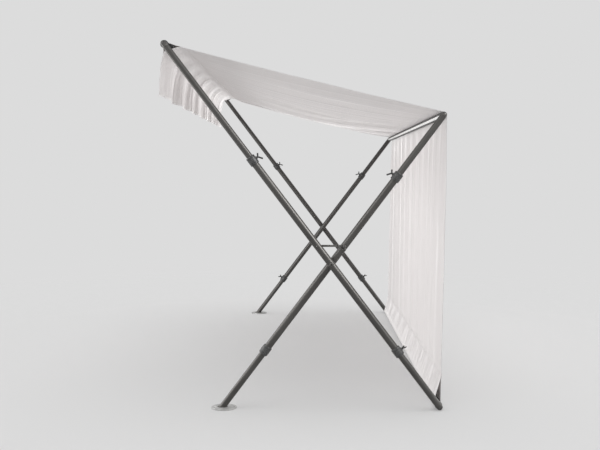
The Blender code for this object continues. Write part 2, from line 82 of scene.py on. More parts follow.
# Tubes
MAIN_RADIUS = 0.0250
END_RADIUS = 0.0225
TUBE_WALL = 0.002
TUBE_SIDES = 64
SEAT_GAP = 0.0003

# Clamps
COLLAR_RADIUS = 0.032
COLLAR_HALF = 0.0325
BOSS_RADIUS = 0.011
BOSS_REACH = 0.036
WING_SWEEP = math.radians(55)
WING_LONG = 0.038
WING_SHORT = 0.026
WING_THICKNESS = 0.008
WING_HALF_WIDTH = 0.0055

# Foot plates
PLATE_RADIUS = 0.087
PLATE_THICKNESS = 0.008
PLATE_HOLE_RADIUS = 0.008
PLATE_HOLE_OFFSET = 0.068
PLATE_SHIFT = 0.010

# Stay and bolts
STAY_PIN_REACH = 0.155
STAY_HALF_HEIGHT = 0.007
STAY_THICKNESS = 0.005
STAY_HOOK_DROP = 0.036
STAY_HOOK_WIDTH = 0.010
STUD_RADIUS = 0.004
STUD_CLEARANCE = 0.0005

# Bars, as (x, z) of their middles, and the cloth that hangs on them
# The rear bar's strip is a painted highlight: a pale strip on the bar's inner side stands in for its lit stripe.
STRIP_HALF_WIDTH = 0.0088
STRIP_DEPTH = 0.0042
STRIP_TURN = math.radians(156)
TAB_REACH = 0.067
TAB_HALF_HEIGHT = 0.010
FRONT_BAR = Vector((PIVOT.x - FRONT_BAR_REACH * COS, PIVOT.z + FRONT_BAR_REACH * SIN))
REAR_BAR = Vector((PIVOT.x + REAR_BAR_REACH * COS, PIVOT.z + REAR_BAR_REACH * SIN))
GROUND_BAR = Vector((0.92470, 0.0270))
SLOPE = (REAR_BAR - FRONT_BAR).normalized()
ABOVE = Vector((-SLOPE.y, SLOPE.x))
STITCH_LINE = FRONT_BAR + SLOPE * 0.125 + ABOVE * 0.015
REAR_TANGENT = math.degrees(math.atan2(ABOVE.y, ABOVE.x))
CLOTH_HALF = 2.180
CLOTH_THICKNESS = 0.0011
CLOTH_RADIUS = END_RADIUS + 0.0012
HEM_WIDTH = 0.018
HEM_THICKNESS = 0.0026
HEM_DROOP = 0.012

# Studio: each light is (name, place, point it faces, size, power, what it lights, what shades it)
ROOM_LIGHT = 0.716
FLOOR_TONE = 0.50
FLOOR_GLOW = 0.223
FLOOR_FADE = (3.5, 8.5)
FLOOR_LIGHT = 0.85
FLOOR_LIGHT_SPREAD = math.radians(60)
LIGHTS = [
    ("behind the curtain", (4.6, 0.8, 2.4), (0.9, 0.0, 1.0), (3.0, 5.0), 120, "tent", None),
    ("open front", (-4.8, -1.0, 1.8), (0.9, 0.0, 1.0), (3.0, 4.0), 190, "behind the valance", None),
    ("open front, softer", (-4.8, -1.0, 1.8), (0.9, 0.0, 1.0), (3.0, 4.0), 100, "valance", None),
    ("near the camera", (2.6, -9.4, 1.0), (-0.2, 0.0, 1.9), (2.5, 1.5), 140, "valance", "cloth"),
    ("far end, low", (0.70, 9.50, 1.90), (0.0, 0.0, 2.1), (1.2, 1.0), 1100, "cloth", "cloth"),
    ("right of the camera", (4.0, -4.6, 4.2), (0.2, -2.2, 1.2), (2.0, 2.0), 260, "tubes", None),
    ("left of the camera", (-3.8, -4.6, 4.2), (0.2, -2.2, 1.2), (2.0, 2.0), 90, "tubes", None),
]


# Modelling helpers

def select_only(piece):
    if bpy.context.mode != "OBJECT":
        bpy.ops.object.mode_set(mode="OBJECT")
    bpy.ops.object.select_all(action="DESELECT")
    piece.select_set(True)
    bpy.context.view_layer.objects.active = piece


def new_piece(name):
    """The primitive that was just added, under its own name."""
    piece = bpy.context.active_object
    piece.name = piece.data.name = name
    return piece


def pick(piece, kind, test):
    """Selects the faces, edges or verts whose middle passes a test, and leaves edit mode on."""
    select_only(piece)
    bpy.ops.object.mode_set(mode="EDIT")
    bpy.ops.mesh.select_mode(type=kind)
    bpy.ops.mesh.select_all(action="DESELECT")
    bpy.ops.object.mode_set(mode="OBJECT")
    mesh = piece.data
    parts = {"FACE": mesh.polygons, "EDGE": mesh.edges, "VERT": mesh.vertices}[kind]
    for part in parts:
        if kind == "FACE":
            part.select = bool(test(part.center, part.normal))
        elif kind == "EDGE":
            ends = [mesh.vertices[index].co for index in part.vertices]
            part.select = bool(test((ends[0] + ends[1]) / 2, ends[1] - ends[0]))
        else:
            part.select = bool(test(part.co, part.normal))
    bpy.ops.object.mode_set(mode="EDIT")


def leave_edit():
    bpy.ops.object.mode_set(mode="OBJECT")


def finish_mesh(piece, angle=32):
    """Merges doubles, turns the faces outward and smooths all but the sharp edges."""
    select_only(piece)
    bpy.ops.object.mode_set(mode="EDIT")
    bpy.ops.mesh.select_all(action="SELECT")
    bpy.ops.mesh.remove_doubles(threshold=1e-6)
    bpy.ops.mesh.normals_make_consistent(inside=False)
    leave_edit()
    bpy.ops.object.shade_smooth_by_angle(angle=math.radians(angle))
    return piece


def modify(piece, kind, **settings):
    """Adds a modifier and applies it at once."""
    select_only(piece)
    modifier = piece.modifiers.new(kind.lower(), kind)
    for name, value in settings.items():
        setattr(modifier, name, value)
    bpy.ops.object.modifier_apply(modifier=modifier.name)
    return piece


def combine(piece, tool, operation):
    """Joins a second solid to a piece, or cuts it away, and removes the second solid."""
    modify(piece, "BOOLEAN", operation=operation, solver="EXACT", object=tool)
    bpy.data.objects.remove(tool)
    return piece


def soften_edges(piece, width, segments=3, angle=30):
    return modify(piece, "BEVEL", width=width, segments=segments, limit_method="ANGLE",
                  angle_limit=math.radians(angle), harden_normals=False)


def turned(name, profile, sides=TUBE_SIDES, hollow=False):
    """Turns a part on its Z axis: a ring is extruded and resized from each (radius, z) to the next."""
    bpy.ops.object.select_all(action="DESELECT")
    radius, height = profile[0]
    bpy.ops.mesh.primitive_circle_add(vertices=sides, radius=radius, location=(0, 0, height),
                                      fill_type="NOTHING" if hollow else "NGON")
    piece = new_piece(name)
    bpy.ops.object.transform_apply(location=True, rotation=False, scale=False)
    bpy.ops.object.mode_set(mode="EDIT")
    bpy.ops.mesh.select_all(action="SELECT")
    steps = profile[1:] + profile[:1] if hollow else profile[1:]
    for new_radius, new_height in steps:
        bpy.ops.mesh.extrude_region_move(
            TRANSFORM_OT_translate={"value": (0, 0, new_height - height)})
        share = new_radius / radius
        bpy.ops.transform.resize(value=(share, share, 1), center_override=(0, 0, new_height))
        radius, height = new_radius, new_height
    leave_edit()
    return finish_mesh(piece)


def block(name, low, high):
    """A block between two corners, still sharp."""
    bpy.ops.object.select_all(action="DESELECT")
    low, high = Vector(low), Vector(high)
    bpy.ops.mesh.primitive_cube_add(size=1, location=(low + high) / 2)
    piece = new_piece(name)
    piece.scale = high - low
    bpy.ops.object.transform_apply(location=True, rotation=False, scale=True)
    return piece


def rod(name, radius, start, end, axis="Z", sides=32):
    """A plain round tool for cutting and joining, along one axis."""
    turn = {"X": (0, math.pi / 2, 0), "Y": (-math.pi / 2, 0, 0), "Z": (0, 0, 0)}[axis]
    along = {"X": Vector((1, 0, 0)), "Y": Vector((0, 1, 0)), "Z": Vector((0, 0, 1))}[axis]
    bpy.ops.object.select_all(action="DESELECT")
    bpy.ops.mesh.primitive_cylinder_add(vertices=sides, radius=radius, depth=end - start,
                                        location=along * (start + end) / 2, rotation=turn)
    piece = new_piece(name)
    bpy.ops.object.transform_apply(location=True, rotation=True, scale=False)
    return piece


def wrap_map(piece, radius):
    """A UV map in metres that rolls round Z, so that drawn lines follow a tube."""
    mesh = piece.data
    layer = mesh.uv_layers.new(name="wrap")
    for polygon in mesh.polygons:
        middle = math.atan2(polygon.center.y, polygon.center.x)
        for loop in polygon.loop_indices:
            point = mesh.vertices[mesh.loops[loop].vertex_index].co
            turn = math.atan2(point.y, point.x) - middle
            turn = (turn + math.pi) % math.tau - math.pi
            layer.data[loop].uv = ((middle + turn) * radius, point.z)
    return piece


def settle(piece, matrix, finish, body, nodes=()):
    """Moves a finished piece to its place, with the object left at the origin, and joins it to a body."""
    piece.data.transform(matrix)
    piece.data.materials.clear()
    piece.data.materials.append(finish)
    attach(piece, body)
    if nodes:
        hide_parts(*nodes)
    return piece


def another(pattern, name):
    """A copy of a pattern piece with its own mesh."""
    piece = pattern.copy()
    piece.data = pattern.data.copy()
    piece.name = piece.data.name = name
    bpy.context.scene.collection.objects.link(piece)
    return piece


def discard(*patterns):
    for pattern in patterns:
        bpy.data.objects.remove(pattern)


# Places on the tent

def leg_place(kind, side, reach=0.0):
    """A leg's own place: Z runs up along the leg, and the origin is at a distance from the pivot."""
    offset = LEG_OFFSET if kind == "high" else -LEG_OFFSET
    lean = -LEAN if kind == "high" else LEAN
    y = SIDES[side] * (HALF_SPACING + offset)
    return (Matrix.Translation((PIVOT.x, y, PIVOT.z)) @ Matrix.Rotation(lean, 4, "Y")
            @ Matrix.Translation((0, 0, reach)))


def bar_place(centre):
    """A cross bar's place: Z runs along the tent to the left."""
    return Matrix.Translation((centre.x, 0, centre.y)) @ Matrix.Rotation(-math.pi / 2, 4, "X")


# Material parts shared by several finishes

def new_group(name, inputs, outputs):
    """A shader node group with its inputs and outputs, each as (name, socket type, default)."""
    group = bpy.data.node_groups.new(name, "ShaderNodeTree")
    for label, kind, value in inputs:
        socket = group.interface.new_socket(name=label, in_out="INPUT", socket_type=kind)
        if value is not None:
            socket.default_value = value
    for label, kind in outputs:
        group.interface.new_socket(name=label, in_out="OUTPUT", socket_type=kind)
    source = group.nodes.new("NodeGroupInput")
    target = group.nodes.new("NodeGroupOutput")
    return group, source, target


def add_node(tree, kind, **settings):
    node = tree.nodes.new(kind)
    for name, value in settings.items():
        setattr(node, name, value)
    return node


def math_node(tree, operation, first, second=None, clamp=False):
    """A maths node whose inputs are sockets or numbers."""
    node = add_node(tree, "ShaderNodeMath", operation=operation, use_clamp=clamp)
    for slot, value in enumerate((first, second)):
        if value is None:
            continue
        if isinstance(value, bpy.types.NodeSocket):
            tree.links.new(value, node.inputs[slot])
        else:
            node.inputs[slot].default_value = value
    return node.outputs[0]


def spread_node(tree, value, low, high, new_low=0.0, new_high=1.0):
    """Maps a range of values to another, held at its ends."""
    node = add_node(tree, "ShaderNodeMapRange")
    tree.links.new(value, node.inputs["Value"])
    node.inputs["From Min"].default_value = low
    node.inputs["From Max"].default_value = high
    node.inputs["To Min"].default_value = new_low
    node.inputs["To Max"].default_value = new_high
    return node.outputs["Result"]


def noise_node(tree, vector, scale, detail=4.0, roughness=0.55):
    node = add_node(tree, "ShaderNodeTexNoise")
    tree.links.new(vector, node.inputs["Vector"])
    node.inputs["Scale"].default_value = scale
    node.inputs["Detail"].default_value = detail
    node.inputs["Roughness"].default_value = roughness
    return node.outputs["Fac"]


def make_cloudiness():
    """Soft uneven patches: two sizes of noise as one mask from 0 to 1."""
    group, source, target = new_group(
        "cloudiness",
        [("Vector", "NodeSocketVector", None), ("Size", "NodeSocketFloat", 0.4)],
        [("Mask", "NodeSocketFloat")])
    scale = math_node(group, "DIVIDE", 1.0, source.outputs["Size"])
    large = add_node(group, "ShaderNodeTexNoise")
    group.links.new(source.outputs["Vector"], large.inputs["Vector"])
    group.links.new(scale, large.inputs["Scale"])
    large.inputs["Detail"].default_value = 3.0
    small = add_node(group, "ShaderNodeTexNoise")
    group.links.new(source.outputs["Vector"], small.inputs["Vector"])
    group.links.new(math_node(group, "MULTIPLY", scale, 4.3), small.inputs["Scale"])
    small.inputs["Detail"].default_value = 5.0
    total = math_node(group, "ADD", math_node(group, "MULTIPLY", large.outputs["Fac"], 0.7),
                      math_node(group, "MULTIPLY", small.outputs["Fac"], 0.3))
    group.links.new(spread_node(group, total, 0.35, 0.65), target.inputs["Mask"])
    return group


def make_drawn_lines():
    """Fine lines left along a drawn tube, with stray scratches across them."""
    group, source, target = new_group(
        "drawn_lines",
        [("UV", "NodeSocketVector", None), ("Spacing", "NodeSocketFloat", 0.0012)],
        [("Height", "NodeSocketFloat"), ("Scratches", "NodeSocketFloat")])
    stretch = add_node(group, "ShaderNodeMapping")
    stretch.inputs["Scale"].default_value = (1.0, 0.02, 1.0)
    group.links.new(source.outputs["UV"], stretch.inputs["Vector"])
    scale = math_node(group, "DIVIDE", 1.0, source.outputs["Spacing"])
    lines = add_node(group, "ShaderNodeTexNoise")
    group.links.new(stretch.outputs["Vector"], lines.inputs["Vector"])
    group.links.new(scale, lines.inputs["Scale"])
    lines.inputs["Detail"].default_value = 3.0
    turn = add_node(group, "ShaderNodeMapping")
    turn.inputs["Rotation"].default_value = (0, 0, math.radians(24))
    turn.inputs["Scale"].default_value = (60.0, 5.0, 1.0)
    group.links.new(source.outputs["UV"], turn.inputs["Vector"])
    marks = noise_node(group, turn.outputs["Vector"], 6.0, detail=6.0, roughness=0.7)
    group.links.new(lines.outputs["Fac"], target.inputs["Height"])
    group.links.new(spread_node(group, marks, 0.64, 0.74), target.inputs["Scratches"])
    return group


def make_edge_wear():
    """Where edges stand out a finish rubs thin. The mask breaks up with noise."""
    group, source, target = new_group(
        "edge_wear",
        [("Pointiness", "NodeSocketFloat", 0.5), ("Vector", "NodeSocketVector", None),
         ("Amount", "NodeSocketFloat", 0.5)],
        [("Mask", "NodeSocketFloat")])
    ridge = spread_node(group, source.outputs["Pointiness"], 0.515, 0.56)
    broken = spread_node(group, noise_node(group, source.outputs["Vector"], 140.0), 0.42, 0.6)
    worn = math_node(group, "MULTIPLY", ridge, broken)
    group.links.new(math_node(group, "MULTIPLY", worn, source.outputs["Amount"], clamp=True),
                    target.inputs["Mask"])
    return group


def make_weave():
    """A plain weave from two crossing waves, one turned a quarter, with uneven threads."""
    group, source, target = new_group(
        "plain_weave",
        [("UV", "NodeSocketVector", None), ("Thread", "NodeSocketFloat", 0.0008)],
        [("Height", "NodeSocketFloat"), ("Slub", "NodeSocketFloat")])
    parts = add_node(group, "ShaderNodeSeparateXYZ")
    group.links.new(source.outputs["UV"], parts.inputs["Vector"])
    step = math_node(group, "DIVIDE", math.pi, source.outputs["Thread"])
    across = math_node(group, "SINE", math_node(group, "MULTIPLY", parts.outputs["X"], step))
    down = math_node(group, "SINE", math_node(group, "MULTIPLY", parts.outputs["Y"], step))
    woven = math_node(group, "MULTIPLY", across, down)
    stretch = add_node(group, "ShaderNodeMapping")
    stretch.inputs["Scale"].default_value = (900.0, 9.0, 1.0)
    group.links.new(source.outputs["UV"], stretch.inputs["Vector"])
    slub = noise_node(group, stretch.outputs["Vector"], 1.0, detail=2.0)
    group.links.new(math_node(group, "ADD", woven, slub), target.inputs["Height"])
    group.links.new(spread_node(group, slub, 0.35, 0.65), target.inputs["Slub"])
    return group


def make_stitches():
    """A row of stitches along V at a distance from the map's edge: 1 on the thread, 0 off it."""
    group, source, target = new_group(
        "stitches",
        [("UV", "NodeSocketVector", None), ("From Edge", "NodeSocketFloat", 0.0),
         ("Pitch", "NodeSocketFloat", 0.0035)],
        [("Mask", "NodeSocketFloat")])
    parts = add_node(group, "ShaderNodeSeparateXYZ")
    group.links.new(source.outputs["UV"], parts.inputs["Vector"])
    away = math_node(group, "ABSOLUTE",
                     math_node(group, "SUBTRACT", parts.outputs["X"], source.outputs["From Edge"]))
    line = spread_node(group, away, 0.0003, 0.0007, 1.0, 0.0)
    place = math_node(group, "FRACT", math_node(group, "DIVIDE", parts.outputs["Y"], source.outputs["Pitch"]))
    dash = spread_node(group, math_node(group, "ABSOLUTE", math_node(group, "SUBTRACT", place, 0.5)),
                       0.30, 0.38, 1.0, 0.0)
    group.links.new(math_node(group, "MULTIPLY", line, dash), target.inputs["Mask"])
    return group


# Finishes

def new_finish(name):
    """A material with its shader, and object coordinates to hang patterns on."""
    finish = bpy.data.materials.new(name)
    finish.use_nodes = True
    tree = finish.node_tree
    shader = tree.nodes["Principled BSDF"]
    coordinates = add_node(tree, "ShaderNodeTexCoord")
    return finish, tree, shader, coordinates


def use_group(tree, group, **inputs):
    """Places a shared group in a material, with sockets or numbers for its inputs."""
    node = add_node(tree, "ShaderNodeGroup", node_tree=group)
    for name, value in inputs.items():
        socket = node.inputs[name.replace("_", " ")]
        if isinstance(value, bpy.types.NodeSocket):
            tree.links.new(value, socket)
        else:
            socket.default_value = value
    return node.outputs


def blend_colours(tree, share, first, second):
    """A mix of two colours by a mask. Each colour is a socket or three numbers."""
    node = add_node(tree, "ShaderNodeMix", data_type="RGBA")
    tree.links.new(share, node.inputs["Factor"])
    for socket, value in ((node.inputs[6], first), (node.inputs[7], second)):
        if isinstance(value, bpy.types.NodeSocket):
            tree.links.new(value, socket)
        else:
            socket.default_value = (*value, 1.0)
    return node.outputs[2]


def raise_surface(tree, shader, height, distance, strength=1.0):
    bump = add_node(tree, "ShaderNodeBump")
    bump.inputs["Distance"].default_value = distance
    bump.inputs["Strength"].default_value = strength
    tree.links.new(height, bump.inputs["Height"])
    tree.links.new(bump.outputs["Normal"], shader.inputs["Normal"])


def tube_finish(groups, name, dark, light, rough, metallic):
    """Drawn tube: lines along it, patchy sheen and a few scratches, on the wrapped map."""
    finish, tree, shader, where = new_finish(name)
    wrap = add_node(tree, "ShaderNodeUVMap", uv_map="wrap").outputs["UV"]
    clouds = use_group(tree, groups["cloudiness"], Vector=where.outputs["Object"], Size=0.35)["Mask"]
    drawn = use_group(tree, groups["drawn_lines"], UV=wrap, Spacing=0.0011)
    colour = blend_colours(tree, clouds, dark, light)
    marks = math_node(tree, "MULTIPLY", drawn["Scratches"], 0.35)
    scratched = blend_colours(tree, marks, colour, tuple(c * 1.5 + 0.02 for c in light))
    tree.links.new(scratched, shader.inputs["Base Color"])
    sheen = spread_node(tree, clouds, 0.0, 1.0, rough - 0.05, rough + 0.06)
    streaked = math_node(tree, "ADD", sheen, math_node(tree, "MULTIPLY", drawn["Height"], 0.04))
    tree.links.new(streaked, shader.inputs["Roughness"])
    shader.inputs["Metallic"].default_value = metallic
    raise_surface(tree, shader, drawn["Height"], 0.00002, 0.10)
    return finish


def cast_finish(groups, name, base, worn, rough, metallic, grain=0.00012, wear=0.6):
    """Moulded or cast part: fine grain, dust in the clouds and rubbed edges."""
    finish, tree, shader, where = new_finish(name)
    place = where.outputs["Object"]
    clouds = use_group(tree, groups["cloudiness"], Vector=place, Size=0.05)["Mask"]
    pointiness = add_node(tree, "ShaderNodeNewGeometry").outputs["Pointiness"]
    edges = use_group(tree, groups["edge_wear"], Pointiness=pointiness, Vector=place, Amount=wear)["Mask"]
    dusty = blend_colours(tree, clouds, base, tuple(c * 1.35 + 0.004 for c in base))
    tree.links.new(blend_colours(tree, edges, dusty, worn), shader.inputs["Base Color"])
    tree.links.new(spread_node(tree, clouds, 0.0, 1.0, rough - 0.06, rough + 0.08), shader.inputs["Roughness"])
    shader.inputs["Metallic"].default_value = metallic
    raise_surface(tree, shader, noise_node(tree, place, 1300.0, detail=3.0), grain, 0.6)
    return finish


def cloth_finish(groups, name, base, shade, through, stitched=False):
    """Thin woven cloth that lets some light through, with a faint unevenness of tone."""
    finish, tree, shader, where = new_finish(name)
    cut = add_node(tree, "ShaderNodeUVMap", uv_map="cut").outputs["UV"]
    clouds = use_group(tree, groups["cloudiness"], Vector=where.outputs["Object"], Size=0.8)["Mask"]
    woven = use_group(tree, groups["plain_weave"], UV=cut, Thread=0.0009)
    tone = blend_colours(tree, clouds, base, shade)
    colour = blend_colours(tree, math_node(tree, "MULTIPLY", woven["Slub"], 0.25), tone,
                           tuple(c * 0.94 for c in shade))
    height = woven["Height"]
    if stitched:
        thread = use_group(tree, groups["stitches"], UV=cut, From_Edge=0.0025, Pitch=0.0036)["Mask"]
        colour = blend_colours(tree, math_node(tree, "MULTIPLY", thread, 0.5), colour, (0.93, 0.90, 0.88))
        height = math_node(tree, "SUBTRACT", height, math_node(tree, "MULTIPLY", thread, 3.0))
    tree.links.new(colour, shader.inputs["Base Color"])
    tree.links.new(spread_node(tree, clouds, 0.0, 1.0, 0.86, 0.95), shader.inputs["Roughness"])
    shader.inputs["Specular IOR Level"].default_value = 0.15
    shader.inputs["Sheen Weight"].default_value = 0.15
    shader.inputs["Sheen Roughness"].default_value = 0.5
    raise_surface(tree, shader, height, 0.00012, 0.35)
    glow = add_node(tree, "ShaderNodeBsdfTranslucent")
    tree.links.new(colour, glow.inputs["Color"])
    mixed = add_node(tree, "ShaderNodeMixShader")
    mixed.inputs["Fac"].default_value = through
    tree.links.new(shader.outputs["BSDF"], mixed.inputs[1])
    tree.links.new(glow.outputs["BSDF"], mixed.inputs[2])
    tree.links.new(mixed.outputs["Shader"], tree.nodes["Material Output"].inputs["Surface"])
    return finish


def make_finishes():
    groups = {"cloudiness": make_cloudiness(), "drawn_lines": make_drawn_lines(),
              "edge_wear": make_edge_wear(), "plain_weave": make_weave(), "stitches": make_stitches()}
    return {
        "tube": tube_finish(groups, "dark tube", (0.072, 0.069, 0.066), (0.090, 0.087, 0.083), 0.38, 0.80),
        "rear bar": tube_finish(groups, "rear bar tube", (0.040, 0.039, 0.038), (0.055, 0.053, 0.051), 0.50, 0.0),
        # Painted highlight: the pale strip on the rear bar stands in for the bar's lit stripe.
        "strip": cast_finish(groups, "painted highlight strip", (0.82, 0.82, 0.81), (0.88, 0.88, 0.87), 0.30, 0.0,
                             grain=0.00002, wear=0.3),
        "clamp": cast_finish(groups, "black clamp", (0.020, 0.020, 0.020), (0.12, 0.12, 0.118), 0.42, 0.0),
        "cap": cast_finish(groups, "tube cap", (0.050, 0.048, 0.046), (0.20, 0.19, 0.18), 0.40, 0.5),
        "clip": cast_finish(groups, "black clip", (0.004, 0.004, 0.004), (0.03, 0.03, 0.03), 0.6, 0.0),
        "bolt": cast_finish(groups, "dark bolt", (0.055, 0.053, 0.050), (0.30, 0.29, 0.28), 0.34, 0.9,
                            grain=0.00004, wear=0.8),
        "stay": cast_finish(groups, "stay steel", (0.045, 0.043, 0.041), (0.26, 0.25, 0.24), 0.36, 0.8,
                            grain=0.00005, wear=0.8),
        "plate": cast_finish(groups, "foot plate steel", (0.33, 0.33, 0.325), (0.5, 0.5, 0.49), 0.44, 0.55,
                             grain=0.00007, wear=0.8),
        "weld": cast_finish(groups, "weld bead", (0.07, 0.067, 0.063), (0.2, 0.19, 0.18), 0.5, 0.7,
                            grain=0.0003, wear=0.5),
        "cloth": cloth_finish(groups, "tent cloth", (0.83, 0.805, 0.800), (0.80, 0.775, 0.770), 0.22),
        "hem": cloth_finish(groups, "hemmed cloth", (0.87, 0.850, 0.846), (0.84, 0.820, 0.816), 0.10,
                            stitched=True),
    }


# Tubes and their ends

def make_tube_patterns():
    """One of each tube, standing on the pivot's level: main tubes, end tubes and the foot leg's lowest tube."""
    outer, inner, lip = MAIN_RADIUS, MAIN_RADIUS - TUBE_WALL, 0.0006

    def main(name, low, high):
        profile = [(inner, low), (outer - lip, low), (outer, low + lip), (outer, high - lip),
                   (outer - lip, high), (inner, high)]
        return wrap_map(turned(name, profile, hollow=True), outer)

    def end(name, low, high):
        wall = END_RADIUS - TUBE_WALL
        profile = [(wall, low), (END_RADIUS - lip, low), (END_RADIUS, low + lip), (END_RADIUS, high - lip),
                   (END_RADIUS - lip, high), (wall, high)]
        return wrap_map(turned(name, profile, hollow=True), END_RADIUS)

    base_end = (PIVOT.z - END_RADIUS) / SIN
    foot_end = (PIVOT.z - PLATE_THICKNESS - SEAT_GAP) / SIN
    patterns = {
        "high_main": main("high_main", -LOWER_COLLAR, HIGH_TOP_COLLAR),
        "foot_main": main("foot_main", -LOWER_COLLAR, LOWER_COLLAR),
        "high_top": end("high_top", HIGH_TOP_COLLAR - TUBE_OVERLAP, FRONT_BAR_REACH - 0.030),
        "high_base": end("high_base", -base_end + 0.004, TUBE_OVERLAP - LOWER_COLLAR),
        "foot_top": end("foot_top", LOWER_COLLAR - TUBE_OVERLAP, REAR_BAR_REACH - 0.010),
    }
    patterns["foot_base"] = make_foot_tube(foot_end)
    for name in ("high_main", "foot_main"):
        combine(patterns[name], rod("bore", 0.0063, -0.05, 0.05, "Y"), "DIFFERENCE")
    stay_bore = rod("bore", 0.0043, -0.05, 0.05, "Y")
    stay_bore.data.transform(Matrix.Translation((0, 0, STAY_PIN_REACH)))
    combine(patterns["high_main"], stay_bore, "DIFFERENCE")
    for name in ("high_main", "foot_main"):
        finish_mesh(patterns[name])
    return patterns, base_end


def make_foot_tube(foot_end):
    """The foot leg's lowest tube, cut level where it stands on its plate."""
    wall = END_RADIUS - TUBE_WALL
    low, high = -foot_end - 0.03, TUBE_OVERLAP - LOWER_COLLAR
    profile = [(wall, low), (END_RADIUS, low), (END_RADIUS, high), (wall, high)]
    piece = turned("foot_base", profile, hollow=True)
    select_only(piece)
    bpy.ops.object.mode_set(mode="EDIT")
    bpy.ops.mesh.select_all(action="SELECT")
    down = Matrix.Rotation(-LEAN, 3, "Y") @ Vector((0, 0, -1))
    bpy.ops.mesh.bisect(plane_co=(0, 0, -foot_end), plane_no=down, clear_outer=True, use_fill=False)
    bpy.ops.mesh.bridge_edge_loops()
    leave_edit()
    return wrap_map(finish_mesh(piece), END_RADIUS)


def make_cap(name, reach, length, sign=1):
    """A plug with a domed head that closes a tube's end, with a groove where it meets the tube."""
    head = END_RADIUS - 0.0010
    dome = [(head * math.cos(a), reach + length - head + head * math.sin(a))
            for a in (math.pi / 2 * step / 12 for step in range(12))]
    profile = [(0.017, reach - 0.012), (0.0195, reach - 0.012), (0.0195, reach + 0.0025),
               (head - 0.0008, reach + 0.0025), (head, reach + 0.0034)] + dome
    piece = turned(name, profile)
    if sign < 0:
        piece.data.transform(Matrix.Rotation(math.pi, 4, "X"))
        finish_mesh(piece)
    return piece


def make_legs(finishes):
    patterns, base_end = make_tube_patterns()
    front_cap = make_cap("front_cap", FRONT_BAR_REACH - 0.030, 0.030 + END_RADIUS)
    base_cap = make_cap("base_cap", base_end - 0.004, 0.004 + END_RADIUS, sign=-1)
    rear_cap = make_cap("rear_cap", REAR_BAR_REACH - 0.010, 0.010 + END_RADIUS)
    for side in SIDES:
        high, foot = leg_place("high", side), leg_place("foot", side)
        rows = (
            ("high_main", f"high_leg_main_{side}", high, "high_frame"),
            ("high_top", f"high_leg_top_{side}", high, "high_frame"),
            ("high_base", f"high_leg_base_{side}", high, "high_frame"),
            ("foot_main", f"foot_leg_main_{side}", foot, "foot_frame"),
            ("foot_top", f"foot_leg_top_{side}", foot, "foot_frame"),
            ("foot_base", f"foot_leg_base_{side}", foot, f"{side}_foot"),
        )
        for pattern, node, place, body in rows:
            settle(another(patterns[pattern], f"{node}_tube"), place, finishes["tube"], body, [node])
        caps = ((front_cap, f"high_leg_top_{side}", high, "high_frame"),
                (base_cap, f"high_leg_base_{side}", high, "high_frame"),
                (rear_cap, f"foot_leg_top_{side}", foot, "foot_frame"))
        for pattern, node, place, body in caps:
            settle(another(pattern, f"{node}_cap"), place, finishes["cap"], body, [node])
    discard(front_cap, base_cap, rear_cap, *patterns.values())


# Clamps

def make_collar():
    """A clamp collar: a stepped ring with softened shoulders, two rolled beads and the screw's boss."""
    half, outer = COLLAR_HALF, COLLAR_RADIUS
    wide, slim = MAIN_RADIUS + SEAT_GAP, END_RADIUS + SEAT_GAP
    profile = [(wide, -half), (outer - 0.0045, -half), (outer - 0.0030, -half + 0.0007),
               (outer - 0.0008, -half + 0.0030), (outer, -half + 0.0052),
               (outer, -0.0205), (outer - 0.0011, -0.0195), (outer - 0.0011, -0.0175), (outer, -0.0165),
               (outer, 0.0165), (outer - 0.0011, 0.0175), (outer - 0.0011, 0.0195), (outer, 0.0205),
               (outer, half - 0.0052), (outer - 0.0008, half - 0.0030), (outer - 0.0030, half - 0.0007),
               (outer - 0.0045, half), (slim, half), (slim, SEAT_GAP), (wide, SEAT_GAP)]
    collar = turned("collar_pattern", profile, sides=56, hollow=True)
    boss = turned("boss", [(BOSS_RADIUS + 0.0030, COLLAR_RADIUS - 0.004), (BOSS_RADIUS + 0.0030, COLLAR_RADIUS),
                           (BOSS_RADIUS + 0.0012, COLLAR_RADIUS + 0.0008), (BOSS_RADIUS, COLLAR_RADIUS + 0.0022),
                           (BOSS_RADIUS, BOSS_REACH - 0.0010), (BOSS_RADIUS - 0.0010, BOSS_REACH)], sides=32)
    boss.data.transform(Matrix.Rotation(math.pi / 2, 4, "Y"))
    combine(collar, boss, "UNION")
    slot = block("slot", (-0.05, -0.0008, -0.05), (-0.0232, 0.0008, 0.05))
    combine(collar, slot, "DIFFERENCE")
    return finish_mesh(collar)


def make_wing(name, sign, length):
    """One wing of the screw: a bar that widens to a rounded tip, swept away from the screw's line."""
    wing = block(name, (-WING_HALF_WIDTH, -WING_THICKNESS / 2, 0.0),
                 (WING_HALF_WIDTH, WING_THICKNESS / 2, length))
    pick(wing, "FACE", lambda centre, normal: normal.z > 0.9)
    bpy.ops.transform.resize(value=(1.05, 0.8, 1), center_override=(0, 0, length))
    leave_edit()
    soften_edges(wing, 0.0022, segments=4)
    wing.data.transform(Matrix.Translation((0, 0, 0.007)) @ Matrix.Rotation(sign * WING_SWEEP, 4, "Y"))
    return wing


def make_wing_screw():
    """A wing screw with one long and one short wing, cast in one with its hub."""
    hub = turned("wing_pattern", [(0.0062, 0.0), (0.0070, 0.0008), (0.0075, 0.0030), (0.0075, 0.0085),
                                  (0.0066, 0.0100), (0.0045, 0.0108)], sides=28)
    combine(hub, make_wing("long_wing", 1, WING_LONG), "UNION")
    combine(hub, make_wing("short_wing", -1, WING_SHORT), "UNION")
    modify(hub, "REMESH", mode="VOXEL", voxel_size=0.0009)
    modify(hub, "SMOOTH", factor=0.5, iterations=6)
    return finish_mesh(hub, angle=60)


